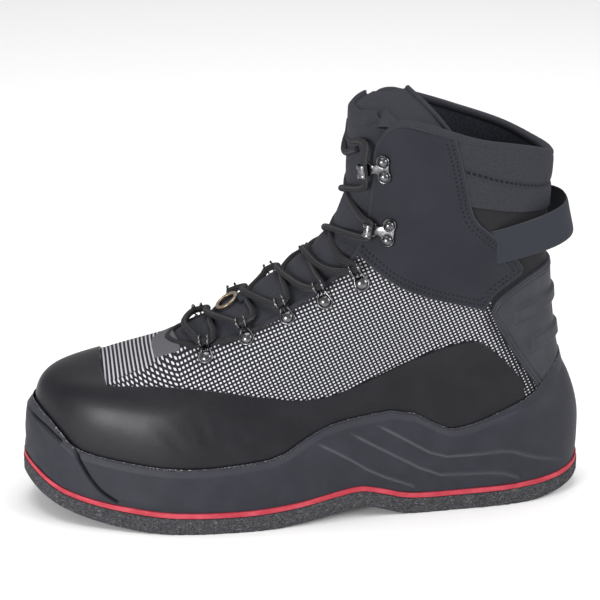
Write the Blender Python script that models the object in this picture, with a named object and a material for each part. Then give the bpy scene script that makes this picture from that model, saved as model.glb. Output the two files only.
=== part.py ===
"""Left wading boot: felt outsole, stripe, moulded cup midsole, hollow laced upper, tongue, insole, overlays,
hardware and lace.

Sizes are in millimetres here and become metres in mesh(). X runs along the boot with the toe at -X, the outer
side of the foot faces -Y, and Z is up from the floor."""

import bmesh
import bpy
import numpy as np
from mathutils import Matrix

MM = 0.001

# Main sizes.
LENGTH = 328.0  # toe to heel of the sole
BALL_HALF = 59.0  # half of the sole's width at the ball
HEIGHT = 240.0  # floor to the top of the tongue
STRIPE = 3.0  # thickness of the stripe above it
FIT = 0.3  # clearance between pieces that meet
WALL = 2.6  # leather and lining of the upper
PAD = 4.0  # extra padding inside the collar
CUP_WALL = 4.2  # sidewall of the midsole at its lip
TONGUE_PAD = 6.0
INSOLE = 4.0
OVERLAY = 1.2  # sheet of the toe rand and the ankle panels
COUNTER = 1.9  # moulded heel counter
LACE_D = 4.0
BAND = 1.0  # folded strip round the collar

# Plan of a foot: half widths as shares of BALL_HALF, by angle from the heel (0) to the toe (180).
FOOT = (
    # angle, outer side, inner side
    (0, 0.000, 0.000),
    (15, 0.310, 0.310),
    (30, 0.510, 0.510),
    (45, 0.635, 0.615),
    (60, 0.700, 0.655),
    (75, 0.765, 0.655),
    (90, 0.900, 0.720),
    (105, 1.010, 0.870),
    (120, 1.000, 0.935),
    (135, 0.830, 0.825),
    (150, 0.610, 0.650),
    (165, 0.300, 0.350),
    (180, 0.000, 0.000),
)
TOE_INWARD = 0.0847 * BALL_HALF  # the tip lies this far to the inner side

# Loops of the last, from the feather edge to above the collar. Each runs from the heel over the instep and
# back. In this and the next tables, x is a share of LENGTH, a height of HEIGHT and a half width of BALL_HALF.
LAST = (
    # heel x, heel height, front x, front height, outer half width, inner half width, share of oval, sag
    (0.4771, 0.1083, -0.4695, 0.1458, 0.8729, 0.8729, 0, 0.0625),
    (0.4817, 0.1917, -0.4756, 0.2375, 0.9237, 0.9153, 0, 0.0458),
    (0.4680, 0.2792, -0.4558, 0.3208, 0.8559, 0.8390, 0.05, 0.0292),
    (0.4512, 0.3708, -0.3720, 0.3625, 0.7627, 0.7119, 0.15, 0.0125),
    (0.4405, 0.4667, -0.2378, 0.4125, 0.6780, 0.6271, 0.45, 0.0000),
    (0.4345, 0.5625, -0.1159, 0.5062, 0.6441, 0.6271, 0.75, 0.0000),
    (0.4314, 0.6583, 0.0000, 0.6125, 0.6271, 0.6271, 1, 0.0000),
    (0.4314, 0.7542, 0.0640, 0.7333, 0.6271, 0.6271, 1, 0.0000),
    (0.4345, 0.8500, 0.0777, 0.9708, 0.6525, 0.6525, 1, -0.0333),
    (0.4375, 0.9333, 0.0823, 1.0500, 0.6525, 0.6525, 1, -0.0333),
)
OVAL_POWER = 0.78
SAG_SHARE = ((0.0, 0.0), (0.15, 0.3), (0.4, 0.6), (0.66, 1.0), (0.86, 0.85), (1.0, 0.0))
COLLAR_V, THROAT_V = 8.0, 4.0

# Half width of the throat in turns round the loop, by height.
THROAT = (
    # v, half width
    (4.0, 0.0),
    (4.06, 0.05),
    (4.25, 0.09),
    (4.6, 0.112),
    (5.2, 0.122),
    (6.0, 0.124),
    (7.0, 0.108),
    (8.0, 0.106),
)

# Side view of the sole: heights of the stripe's top and of the felt's underside, by x.
SOLE = (
    # x, stripe top, felt underside
    (-0.5000, 0.1333, 0.0833),
    (-0.4817, 0.1167, 0.0633),
    (-0.4512, 0.0942, 0.0433),
    (-0.4116, 0.0788, 0.0275),
    (-0.3628, 0.0675, 0.0138),
    (-0.3140, 0.0608, 0.0054),
    (-0.2591, 0.0554, 0.0000),
    (-0.1677, 0.0529, 0.0000),
    (-0.0762, 0.0550, 0.0000),
    (-0.0183, 0.0625, 0.0083),
    (0.0427, 0.0775, 0.0225),
    (0.0854, 0.0842, 0.0308),
    (0.1280, 0.0708, 0.0183),
    (0.1646, 0.0567, 0.0025),
    (0.2012, 0.0517, 0.0000),
    (0.2927, 0.0517, 0.0000),
    (0.3841, 0.0537, 0.0000),
    (0.4360, 0.0592, 0.0092),
    (0.4726, 0.0683, 0.0233),
    (0.5000, 0.0817, 0.0392),
)

# Lip of the sidewall on the outer side, by angle round the sole.
LIP = (
    # x, height
    (-0.5000, 0.2917),
    (-0.4726, 0.2708),
    (-0.4512, 0.2500),
    (-0.4299, 0.2229),
    (-0.4085, 0.1917),
    (-0.3780, 0.1812),
    (-0.3293, 0.1729),
    (-0.2744, 0.1658),
    (-0.2073, 0.1625),
    (-0.1311, 0.1700),
    (-0.0610, 0.1812),
    (-0.0152, 0.2208),
    (0.0274, 0.2479),
    (0.0671, 0.2583),
    (0.1585, 0.2708),
    (0.1829, 0.2642),
    (0.2378, 0.2200),
    (0.2683, 0.2167),
    (0.3415, 0.2554),
    (0.3902, 0.2833),
    (0.4207, 0.3167),
    (0.4573, 0.3583),
    (0.5000, 0.3667),
)

# Top edge of the toe rand, by x, from the toe cap to the heel.
RAND_TOP = (
    (-0.3628, 0.3792),
    (-0.3567, 0.3604),
    (-0.3415, 0.3500),
    (-0.3171, 0.3500),
    (-0.2591, 0.3521),
    (-0.1738, 0.3417),
    (-0.0854, 0.3250),
    (-0.0091, 0.3108),
    (0.0335, 0.3158),
    (0.1037, 0.3458),
    (0.1768, 0.3854),
    (0.2500, 0.4167),
    (0.2866, 0.4229),
    (0.3110, 0.4062),
    (0.3323, 0.3750),
    (0.3598, 0.3292),
    (0.3872, 0.2854),
)


def curve(rows, t, column=1):
    """Smooth curve through a column of rows, read at t along their first column."""
    rows = np.asarray(rows, float)
    xs, ys = rows[:, 0], rows[:, column]
    t = np.clip(np.asarray(t, float), xs[0], xs[-1])
    gaps, rises = np.diff(xs), np.diff(ys)
    slopes = rises / gaps
    inner = (slopes[:-1] * gaps[1:] + slopes[1:] * gaps[:-1]) / (gaps[1:] + gaps[:-1])
    inner = np.where(slopes[:-1] * slopes[1:] > 0, inner, inner * 0.35)
    tangents = np.concatenate([slopes[:1], inner, slopes[-1:]])
    i = np.clip(np.searchsorted(xs, t, side="right") - 1, 0, len(gaps) - 1)
    f = (t - xs[i]) / gaps[i]
    a, b = ys[i], ys[i + 1]
    m, n = tangents[i] * gaps[i], tangents[i + 1] * gaps[i]
    return a + f * (m + f * (3 * (b - a) - 2 * m - n + f * (2 * (a - b) + m + n)))


def side_view(rows, x, column=1):
    """Height at x from a table of shares."""
    return HEIGHT * curve(rows, x / LENGTH, column)


def foot_share(turn):
    """Signed half width of the foot's plan at a turn round it: outer side negative, heel at 0, toe at 0.5."""
    rows = np.asarray(FOOT, float)
    signed = np.concatenate([-rows[:, 1], rows[-2::-1, 2]])
    steps = len(signed) - 1
    at = (np.asarray(turn, float) % 1.0) * steps
    i = np.floor(at).astype(int) % steps
    f = at - np.floor(at)
    p0, p1, p2, p3 = (signed[(i + k) % steps] for k in (-1, 0, 1, 2))
    return p1 + 0.5 * f * (p2 - p0 + f * (2 * p0 - 5 * p1 + 4 * p2 - p3 + f * (3 * (p1 - p2) + p3 - p0)))


def last_row(v):
    """The sizes of the loop at height v, smoothly between the rows of LAST."""
    rows = np.asarray(LAST, float)
    rows = np.concatenate([2 * rows[:1] - rows[1:2], rows, 2 * rows[-1:] - rows[-2:-1]])
    v = np.clip(np.asarray(v, float), 0.0, len(LAST) - 1.0)
    i = np.minimum(np.floor(v).astype(int), len(LAST) - 2)
    f = (v - i)[..., None]
    p0, p1, p2, p3 = (rows[i + k] for k in (0, 1, 2, 3))
    out = p1 + 0.5 * f * (p2 - p0 + f * (2 * p0 - 5 * p1 + 4 * p2 - p3 + f * (3 * (p1 - p2) + p3 - p0)))
    return np.moveaxis(out * (LENGTH, HEIGHT, LENGTH, HEIGHT, BALL_HALF, BALL_HALF, 1.0, HEIGHT), -1, 0)


def last_point(turn, v):
    """The last's surface at a turn round it and a height v."""
    turn, v = np.broadcast_arrays(np.asarray(turn, float) % 1.0, np.asarray(v, float))
    heel_x, heel_z, front_x, front_z, outer, inner, oval, sag = last_row(v)
    share = (1 - np.cos(2 * np.pi * turn)) / 2
    x = heel_x + (front_x - heel_x) * share
    side = np.sin(2 * np.pi * turn)
    round_share = -np.sign(side) * np.abs(side) ** OVAL_POWER
    foot = foot_share(turn)
    half = np.where(turn < 0.5, outer, inner)
    y = half * ((1 - oval) * foot + oval * round_share) + TOE_INWARD * share**3 * (1 - 0.6 * oval)
    z = heel_z + (front_z - heel_z) * share - sag * curve(SAG_SHARE, share)
    return np.stack([x, y, z], -1)


def last_normal(turn, v):
    """Unit vector out of the last's surface."""
    step = 0.004
    low, high = np.maximum(v - 0.1, 0.0), np.minimum(v + 0.1, len(LAST) - 1.0)
    along = last_point(turn + step, v) - last_point(turn - step, v)
    upward = last_point(turn, high) - last_point(turn, low)
    out = np.cross(upward, along)
    return out / np.linalg.norm(out, axis=-1, keepdims=True)


def shell(turn, v, out=0.0):
    """A point this far out of the last's surface."""
    turn, v = np.broadcast_arrays(np.asarray(turn, float), np.asarray(v, float))
    return last_point(turn, v) + last_normal(turn, v) * np.asarray(out, float)[..., None]


def stray(turn, v, side, wrap=False):
    """How far the facets of a grid on the last run to one side of it: 1 outwards, -1 inwards."""
    found = np.zeros(turn.shape)
    for di, dj in ((0, 1), (1, 0), (1, 1), (1, -1)):
        columns = turn.shape[1]
        near = slice(max(0, -dj), columns - max(0, dj))
        far = slice(max(0, dj), columns + min(0, dj))
        for k in range(turn.shape[0] if wrap else turn.shape[0] - di):
            i = (k + di) % turn.shape[0]
            t = turn[i, far] + np.round(turn[k, near] - turn[i, far])
            middle_t, middle_v = (turn[k, near] + t) / 2, (v[k, near] + v[i, far]) / 2
            chord = (last_point(turn[k, near], v[k, near]) + last_point(t, v[i, far])) / 2
            off = side * ((chord - last_point(middle_t, middle_v)) * last_normal(middle_t, middle_v)).sum(-1)
            found[k, near] = np.maximum(found[k, near], off)
            found[i, far] = np.maximum(found[i, far], off)
    return found


def height_to_v(turn, height, x_rows=None):
    """The v at which each turn's column of the last reaches a height, or a height given by x in x_rows."""
    turn = np.atleast_1d(np.asarray(turn, float))
    steps = np.linspace(0.0, COLLAR_V, 321)
    points = last_point(turn[:, None], steps[None, :])
    wanted = side_view(x_rows, points[..., 0]) if x_rows is not None else np.asarray(height, float)[..., None]
    above = points[..., 2] - wanted
    found = []
    for row in above:
        i = int(np.argmax(row > 0))
        i = max(i, 1)
        f = row[i - 1] / (row[i - 1] - row[i]) if row[i] != row[i - 1] else 0.0
        found.append(steps[i - 1] + (steps[i] - steps[i - 1]) * np.clip(f, 0.0, 1.0))
    return np.array(found)


def locate(place, outer_side=True):
    """The (turn, v) at which the last's side passes through a place, given as shares of length and height."""
    x, z = place[0] * LENGTH, place[1] * HEIGHT
    turns = np.linspace(0.0, 0.5, 241) if outer_side else np.linspace(0.5, 1.0, 241)
    heights = np.linspace(0.0, len(LAST) - 1.0, 181)
    points = last_point(turns[:, None], heights[None, :])
    off = (points[..., 0] - x) ** 2 + (points[..., 2] - z) ** 2
    i, j = np.unravel_index(np.argmin(off), off.shape)
    t, v = turns[i], heights[j]
    for _ in range(12):
        here = last_point(t, v)
        dt = (last_point(t + 1e-4, v) - here) / 1e-4
        dv = (last_point(t, v + 1e-3) - here) / 1e-3
        m = np.array([[dt[0], dv[0]], [dt[2], dv[2]]])
        if abs(np.linalg.det(m)) < 1e-6:
            break
        move = np.linalg.solve(m, [x - here[0], z - here[2]])
        t, v = t + np.clip(move[0], -0.02, 0.02), v + np.clip(move[1], -0.3, 0.3)
    return float(t), float(v)


def material(name, colour, roughness, metallic=0.0):
    made = bpy.data.materials.new(name)
    made.use_nodes = True
    shader = made.node_tree.nodes["Principled BSDF"]
    shader.inputs["Base Color"].default_value = (*colour, 1.0)
    shader.inputs["Roughness"].default_value = roughness
    shader.inputs["Metallic"].default_value = metallic
    return made


def mesh(name, points, faces, colour):
    """One named object from points in millimetres, with double points joined and faces turned outwards."""
    data = bpy.data.meshes.new(name)
    data.from_pydata([tuple(p) for p in np.asarray(points) * MM], [], faces)
    made = bpy.data.objects.new(name, data)
    bpy.context.scene.collection.objects.link(made)
    data.materials.append(colour)
    work = bmesh.new()
    work.from_mesh(data)
    bmesh.ops.remove_doubles(work, verts=work.verts, dist=1e-6)
    bmesh.ops.dissolve_degenerate(work, edges=work.edges, dist=1e-7)
    bmesh.ops.recalc_face_normals(work, faces=work.faces)
    work.to_mesh(data)
    work.free()
    data.shade_smooth()
    return made


def quads(rows, columns, wrap_rows, wrap_columns):
    """Faces of a grid of points."""
    made = []
    for i in range(rows if wrap_rows else rows - 1):
        for j in range(columns if wrap_columns else columns - 1):
            a, b = i * columns + j, i * columns + (j + 1) % columns
            c, d = ((i + 1) % rows) * columns + (j + 1) % columns, ((i + 1) % rows) * columns + j
            made.append((a, b, c, d))
    return made


def ring_solid(name, profiles, colour):
    """A solid from closed profiles that follow each other round a closed path."""
    grid = np.asarray(profiles)
    return mesh(name, grid.reshape(-1, 3), quads(len(grid), grid.shape[1], True, True), colour)


def loft_solid(name, sections, colour):
    """A solid from closed sections in a row, with its two ends filled where they have any width."""
    grid = np.asarray(sections)
    count = grid.shape[1]
    faces = quads(len(grid), count, False, True)
    points = list(grid.reshape(-1, 3))
    for end in (0, len(grid) - 1):
        ring = [end * count + k for k in range(count)]
        if np.ptp(grid[end], axis=0)[1] > 1e-6:
            faces.append(tuple(ring))
    return mesh(name, points, faces, colour)


def sheet_solid(name, low, high, colour):
    """A solid between two grids of points of one shape, closed round their edges."""
    rows, columns = low.shape[:2]
    count = rows * columns
    faces = quads(rows, columns, False, False)
    faces = [tuple(k + count for k in f) for f in faces] + [f[::-1] for f in faces]
    edge = [j for j in range(columns)] + [i * columns + columns - 1 for i in range(1, rows)]
    edge += [(rows - 1) * columns + j for j in range(columns - 2, -1, -1)]
    edge += [i * columns for i in range(rows - 2, 0, -1)]
    for k, a in enumerate(edge):
        b = edge[(k + 1) % len(edge)]
        faces.append((a, b, b + count, a + count))
    points = np.concatenate([low.reshape(-1, 3), high.reshape(-1, 3)])
    return mesh(name, points, faces, colour)


def tube(path, radius, sides=6):
    """Closed tube along a path, as points and faces; its section turns with the path and never twists."""
    path = np.asarray(path, float)
    tangent = np.gradient(path, axis=0)
    tangent /= np.linalg.norm(tangent, axis=1, keepdims=True)
    side = np.cross(tangent[0], (0.0, 0.0, 1.0))
    if np.linalg.norm(side) < 0.2:
        side = np.cross(tangent[0], (0.0, 1.0, 0.0))
    points = []
    for at, ahead in zip(path, tangent):
        side = side - ahead * (side @ ahead)
        side /= np.linalg.norm(side)
        up = np.cross(ahead, side)
        for k in range(sides):
            turn = 2 * np.pi * k / sides
            points.append(at + radius * (np.cos(turn) * side + np.sin(turn) * up))
    faces = quads(len(path), sides, False, True)
    faces += [tuple(range(sides - 1, -1, -1)), tuple(range((len(path) - 1) * sides, len(path) * sides))]
    return np.array(points), faces


for stale in list(bpy.data.objects):
    bpy.data.objects.remove(stale, do_unlink=True)

felt = material("felt", (0.05, 0.05, 0.055), 0.95)
red_rubber = material("red_rubber", (0.55, 0.03, 0.06), 0.6)
cup_rubber = material("cup_rubber", (0.035, 0.038, 0.045), 0.6)
coated = material("coated_leather", (0.02, 0.02, 0.024), 0.3)
mesh_cloth = material("mesh_cloth", (0.2, 0.2, 0.21), 0.8)
nubuck = material("nubuck", (0.025, 0.025, 0.03), 0.7)
padding = material("padding_cloth", (0.025, 0.026, 0.03), 0.9)
insole_cloth = material("insole_cloth", (0.04, 0.04, 0.045), 0.95)

# Outsole: felt and stripe follow the sole's plan and its side view.
SOLE_COLUMNS = 72  # steps round the sole, the same in each layer
SOLE_SOFT = 0.8  # bevel of each layer's edges
FELT_GROW, STRIPE_GROW = 0.6, 0.2  # how far each layer stands out of the sole's plan


def sole_layer(name, low_column, low_shift, high_column, high_shift, grow, colour):
    """A layer of the sole between two heights of its side view, with softened edges."""
    sections = []
    for angle in np.linspace(0.0, np.pi, SOLE_COLUMNS // 2 + 1):
        turn = angle / (2 * np.pi)
        share = (1 - np.cos(angle)) / 2
        end = np.cos(angle)
        x = (LENGTH / 2 + grow) * end
        middle = TOE_INWARD * share**3
        outer = middle + foot_share(turn) * BALL_HALF - grow * np.sin(angle)
        inner = middle + foot_share(1.0 - turn) * BALL_HALF + grow * np.sin(angle)
        low = side_view(SOLE, x, low_column) + low_shift
        high = side_view(SOLE, x, high_column) + high_shift
        soft = min(SOLE_SOFT, (high - low) * 0.25)
        pull = min(soft, (inner - outer) * 0.25)
        at = [(outer + pull, low), (inner - pull, low), (inner, low + soft), (inner, high - soft)]
        at += [(inner - pull, high), (outer + pull, high), (outer, high - soft), (outer, low + soft)]
        sections.append([(x, y, z) for y, z in at])
    return loft_solid(name, sections, colour)


sole_layer("felt_outsole", 2, 0.0, 1, -STRIPE - FIT, FELT_GROW, felt)
sole_layer("sole_stripe", 1, -STRIPE, 1, 0.0, STRIPE_GROW, red_rubber)

# Midsole: a cup whose wall stands round the upper and ends at the wavy lip.
CUP_BOTTOM_IN = 0.8
CUP_ROOM = 2 * FIT + OVERLAY + 1.0  # from the last to the inside of the cup
CUP_TAPER = 0.62  # the wall thins by this share of CUP_WALL up to the lip
CUP_FLARE = (1.004, 1.01)  # the foot of the wall against the sole's plan, along and across
CUP_STEPS, CUP_INSIDE = (0.14, 0.36, 0.6, 0.85), (0.9, 0.45)  # shares of the wall's height
CUP_BLEND, CUP_CURVE = 1.3, 1.2  # how the wall turns from the sole's plan to the last
LIP_STEP, LIP_ROUND = 0.5, 0.05  # slope on top of the lip, across and in v


def cup_profiles():
    made = []
    for k in range(SOLE_COLUMNS):
        turn = k / SOLE_COLUMNS
        share = (1 - np.cos(2 * np.pi * turn)) / 2
        feather = last_point(turn, 0.0)
        middle = TOE_INWARD * share**3
        edge_x = (LENGTH / 2 - CUP_BOTTOM_IN) * np.cos(2 * np.pi * turn)
        edge_y = middle + foot_share(turn) * (BALL_HALF - CUP_BOTTOM_IN)
        base = side_view(SOLE, edge_x) + FIT
        lip_v = height_to_v(turn, None, LIP)[0]
        bottom = [(edge_x, middle, base), (edge_x, edge_y, base)]
        wall = []
        for f in CUP_STEPS:
            on_last = shell(turn, lip_v * f, CUP_ROOM + CUP_WALL * (1 - CUP_TAPER * f))
            flat = np.array([edge_x * CUP_FLARE[0], edge_y * CUP_FLARE[1], on_last[2]])
            blend = min(1.0, f * CUP_BLEND) ** CUP_CURVE
            point = flat * (1 - blend) + on_last * blend
            point[2] = base + (shell(turn, lip_v, 0.0)[2] - base) * f
            wall.append(point)
        lip_out = shell(turn, lip_v, CUP_ROOM + CUP_WALL * (1 - CUP_TAPER))
        lip_top = shell(turn, lip_v + LIP_ROUND, CUP_ROOM + LIP_STEP)
        inside = [shell(turn, lip_v * f, CUP_ROOM) for f in CUP_INSIDE]
        corner = shell(turn, 0.0, 0.0) + np.array([0.0, 0.0, -FIT])
        corner[:2] += last_normal(turn, 0.0)[:2] * FIT
        floor = [corner, (feather[0], middle, corner[2])]
        made.append(np.array([*bottom, *wall, lip_out, lip_top, *inside, *floor]))
    return made


CUP = np.asarray(cup_profiles())
CUP_FACE = slice(1, 7)  # points of a profile from the foot of the wall to the lip


def cup_solid():
    faces = quads(len(CUP), CUP.shape[1], True, False)
    return mesh("midsole", CUP.reshape(-1, 3), faces, cup_rubber)


midsole = cup_solid()

# Engraved lines of the sidewall: three behind the arch and the edges of the toe bumper, alike on both sides.
SIDE_LINES = (
    # x and height of each bend, from the front
    ((0.0046, 0.2129), (0.1820, 0.0729)),
    ((0.0662, 0.2354), (0.2146, 0.1054), (0.2689, 0.1000), (0.3372, 0.0917), (0.3726, 0.0708)),
    (
        (0.1128, 0.2500), (0.1582, 0.2050), (0.2250, 0.1550), (0.2872, 0.1550), (0.3448, 0.1588),
        (0.4009, 0.1267), (0.4588, 0.0950),
    ),
    ((-0.4192, 0.2083), (-0.4018, 0.1537), (-0.3750, 0.0987), (-0.3436, 0.0729)),
    ((-0.4817, 0.2417), (-0.4567, 0.2262), (-0.4369, 0.2058)),
)
LINE_R, LINE_STEP = 0.9, 9.0


def on_sidewall(x, z, side):
    """The point of the cup's outer face at x and a height, on the outer (-1) or inner (1) side."""
    half = SOLE_COLUMNS // 2
    columns = CUP[: half + 1] if side < 0 else np.concatenate([CUP[half:], CUP[:1]])[::-1]
    faces = columns[:, CUP_FACE]
    level = np.array([[np.interp(z, face[:, 2], face[:, k]) for k in (0, 1)] for face in faces])
    order = np.argsort(level[:, 0])
    return np.array([x, np.interp(x, level[order, 0], level[order, 1]), z])


def line_path(bends, side):
    """Points on the sidewall along a line with these bends."""
    bends = np.multiply(bends, (LENGTH, HEIGHT))
    path = [on_sidewall(*bends[0], side)]
    for (x1, z1), (x2, z2) in zip(bends, bends[1:]):
        steps = max(1, round(np.hypot(x2 - x1, z2 - z1) / LINE_STEP))
        shares = np.arange(1, steps + 1) / steps
        path += [on_sidewall(x1 + (x2 - x1) * f, z1 + (z2 - z1) * f, side) for f in shares]
    return path


for side, side_name in ((-1, "outer"), (1, "inner")):
    tubes = [tube(line_path(bends, side), LINE_R, 4) for bends in SIDE_LINES]
    starts = np.cumsum([0] + [len(points) for points, _ in tubes])
    line_points = np.concatenate([points for points, _ in tubes])
    line_faces = []
    for (_, faces), start in zip(tubes, starts):
        line_faces += [tuple(k + start for k in face) for face in faces]
    cutter = mesh(f"sidewall_lines_{side_name}", line_points, line_faces, cup_rubber)
    cutter.hide_render = True
    cutter.display_type = "WIRE"
    cut = midsole.modifiers.new(cutter.name, "BOOLEAN")
    cut.operation, cut.solver, cut.object = "DIFFERENCE", "EXACT", cutter

# Upper: one hollow solid from the feather edge to the collar and the throat.
COLLAR_COLUMNS, THROAT_COLUMNS = 12, 20
UPPER_ROWS = 12
CORNER_BASE = 0.209  # turn at the feather edge under the panel's front corner
CORNER_START, CORNER_DROP = 0.33, 0.35  # where the collar's front corner starts to round down, and how far
THROAT_SPACING = 1.8  # power that brings the throat's columns together at its base

# The pad inside the collar: its front end in turns and its lower and upper ends in v, with the steps' widths.
PAD_FRONT, PAD_RAMP = 0.34, 0.05
PAD_LOW_V, PAD_LOW_RAMP = 5.6, 0.8
PAD_TOP_V, PAD_TOP_RAMP = 8.3, 0.5
PAD_TOP_LEAST = 0.3  # share of the padding left at the very top


def throat_half(v):
    return curve(THROAT, v)


def collar_v(turn):
    """Height of the collar's edge: level round the back and rounded down at the front corner."""
    front = 0.5 - THROAT[-1][1]
    return COLLAR_V - CORNER_DROP * np.clip((turn - CORNER_START) / (front - CORNER_START), 0.0, 1.0) ** 2


def top_edge():
    """(turn, v) along one side's top edge from the back of the collar to the throat's base."""
    collar = np.linspace(0.0, 0.5 - throat_half(COLLAR_V), COLLAR_COLUMNS + 1)
    path = [(t, collar_v(t)) for t in collar]
    share = np.linspace(0.0, 1.0, THROAT_COLUMNS + 1)[1:]
    for f in share:
        v = THROAT_V + (path[COLLAR_COLUMNS][1] - THROAT_V) * (1 - f) ** THROAT_SPACING
        path.append((0.5 - throat_half(v), v))
    return np.array(path)


def feather_turns():
    back = np.linspace(0.0, CORNER_BASE, COLLAR_COLUMNS + 1)
    front = np.linspace(CORNER_BASE, 0.5, THROAT_COLUMNS + 1)[1:]
    return np.concatenate([back, front])


def wall_at(turn, v):
    """Thickness of the upper: padded round the back of the collar."""
    away = np.abs(((turn + 0.5) % 1.0) - 0.5)
    rear = np.clip((PAD_FRONT - away) / PAD_RAMP, 0.0, 1.0)
    low = np.clip((v - PAD_LOW_V) / PAD_LOW_RAMP, 0.0, 1.0)
    high = np.clip((PAD_TOP_V - v) / PAD_TOP_RAMP, PAD_TOP_LEAST, 1.0)
    return WALL + PAD * rear * low * high


def upper_columns():
    """(turn, v) grid: one column per step round the boot, rows from the feather to the top edge."""
    outer = top_edge()
    base = feather_turns()
    rows = np.linspace(0.0, 1.0, UPPER_ROWS)
    half = []
    for (t1, v1), t0 in zip(outer, base):
        half.append([(t0 + (t1 - t0) * r, v1 * r) for r in rows])
    other = [[(1.0 - t, v) for t, v in column] for column in half[-2:0:-1]]
    return np.array(half + other)


def upper_solid():
    at = upper_columns()
    turn, v = at[..., 0], at[..., 1]
    outside = shell(turn, v, -stray(turn, v, 1, wrap=True))
    inside = shell(turn, v, -wall_at(turn, v))
    grid = np.concatenate([outside, inside[:, ::-1]], axis=1)
    return ring_solid("upper", grid, mesh_cloth)


upper_solid()

# Insole: a thin footbed on the cup's floor, inside the upper's wall.
INSOLE_COLUMNS = 25
INSOLE_IN = WALL + 3 * FIT
INSOLE_CUPPED = 1.0


def insole_solid():
    sections = []
    for angle in np.linspace(0.0, np.pi, INSOLE_COLUMNS):
        turn = angle / (2 * np.pi)
        share = (1 - np.cos(angle)) / 2
        outer, inner = last_point(turn, 0.0), last_point((1.0 - turn) % 1.0, 0.0)
        middle = TOE_INWARD * share**3
        x = outer[0] - INSOLE_IN * np.cos(angle)
        low_y, high_y = outer[1] + INSOLE_IN * np.sin(angle), inner[1] - INSOLE_IN * np.sin(angle)
        z = outer[2]
        lift = INSOLE_CUPPED * np.sin(angle)
        at = [(low_y, z), (middle, z), (high_y, z), (high_y, z + INSOLE + lift), (middle, z + INSOLE)]
        at += [(low_y, z + INSOLE + lift)]
        sections.append([(x, y, h) for y, h in at])
    return loft_solid("insole", sections, insole_cloth)


insole_solid()

# Tongue: a padded sheet under the throat's edges that stands over the collar.
TONGUE_LAP = 0.03  # turns that it reaches under the upper's edge
TONGUE_TOP, TONGUE_EARS = 8.0, 0.22  # v at the middle of its top, and how much higher its sides are
TONGUE_GAP = 0.2  # more room under the upper's edge
TONGUE_EDGE_OFF = -WALL - FIT - TONGUE_GAP  # distance of its face from the last at its edges
TONGUE_MIDDLE_OFF = -4.1  # and along its middle
TONGUE_REACH = 0.35  # v that it reaches under the base of the throat
TONGUE_LEAST = 0.06  # least half width in turns
TONGUE_NECK, TONGUE_NARROW = 0.5, 0.25  # v below its top from which it narrows, and by which share
TONGUE_DIP = 0.9  # the ears' outer corners are rounded down by this share
TONGUE_THIN = 0.75  # share of the padding that runs out at the edges
TONGUE_ROWS, TONGUE_COLUMNS = 15, 9


def tongue_solid():
    rows = np.linspace(THROAT_V - TONGUE_REACH, TONGUE_TOP, TONGUE_ROWS)
    across = np.linspace(-1.0, 1.0, TONGUE_COLUMNS)
    half = np.maximum(throat_half(rows), TONGUE_LEAST) + TONGUE_LAP
    near_top = np.clip((rows - TONGUE_TOP + TONGUE_NECK) / TONGUE_NECK, 0.0, 1.0)
    turn = 0.5 + np.outer(half * (1 - TONGUE_NARROW * near_top**3), across)
    across = across[None, :]
    v = rows[:, None] + TONGUE_EARS * near_top[:, None] * (across**2 - TONGUE_DIP * across**6)
    soft = 1 - TONGUE_THIN * np.abs(across) ** 4
    off = TONGUE_MIDDLE_OFF + (TONGUE_EDGE_OFF - TONGUE_MIDDLE_OFF) * across**2
    off = off - stray(turn, v, 1)
    outside = shell(turn, v, off)
    inside = shell(turn, v, off - TONGUE_PAD * soft)
    return sheet_solid("tongue", inside, outside, padding)


tongue_solid()


def coons(low, high, left, right):
    """Grid of (turn, v) between four edges; low and high run along, left and right run up."""
    low, high, left, right = (np.asarray(edge, float) for edge in (low, high, left, right))
    s = np.linspace(0.0, 1.0, len(low))[None, :, None]
    t = np.linspace(0.0, 1.0, len(left))[:, None, None]
    ruled = (1 - t) * low[None] + t * high[None] + (1 - s) * left[:, None] + s * right[:, None]
    corners = (1 - s) * (1 - t) * low[0] + s * (1 - t) * low[-1] + (1 - s) * t * high[0] + s * t * high[-1]
    return ruled - corners


def along(points, count, outer_side=True):
    """(turn, v) at even steps of length along a line given by its places on one side of the last."""
    found = np.array([locate(place, outer_side) for place in points])
    shape = shell(found[:, 0], found[:, 1])
    length = np.concatenate([[0.0], np.cumsum(np.linalg.norm(np.diff(shape, axis=0), axis=1))])
    steps = np.linspace(0.0, length[-1], count)
    return np.stack([np.interp(steps, length, found[:, k]) for k in (0, 1)], -1)


def overlay(name, at, low, high, colour):
    """A sheet over the upper between two distances from the last, with its facets clear of it."""
    turn, v = at[..., 0], at[..., 1]
    clear = stray(turn, v, -1)
    return sheet_solid(name, shell(turn, v, low + clear), shell(turn, v, high + clear), colour)


def across_heel(points):
    """The same (turn, v) points on the inner side, for a shape that is alike on both sides."""
    flipped = np.array(points, float)
    flipped[..., 0] = -flipped[..., 0]
    return flipped


# Toe rand: from the inner side round the toe to the outer side, tucked into the cup.
RAND_COLUMNS, RAND_ROWS = 49, 4
RAND_END = (0.3689, 0.2917)  # x and z at which it runs out against the heel counter
RAND_TUCK = 0.2

rand_end = locate(RAND_END)[0]
rand_turns = np.linspace(rand_end, 1.0 - rand_end, RAND_COLUMNS)
rand_low = np.stack([rand_turns, height_to_v(rand_turns, None, LIP) - RAND_TUCK], -1)
rand_high = np.stack([rand_turns, height_to_v(rand_turns, None, RAND_TOP)], -1)
rand_sides = [np.linspace(rand_low[k], rand_high[k], RAND_ROWS) for k in (0, -1)]
overlay("toe_rand", coons(rand_low, rand_high, *rand_sides), FIT, FIT + OVERLAY, coated)

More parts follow.
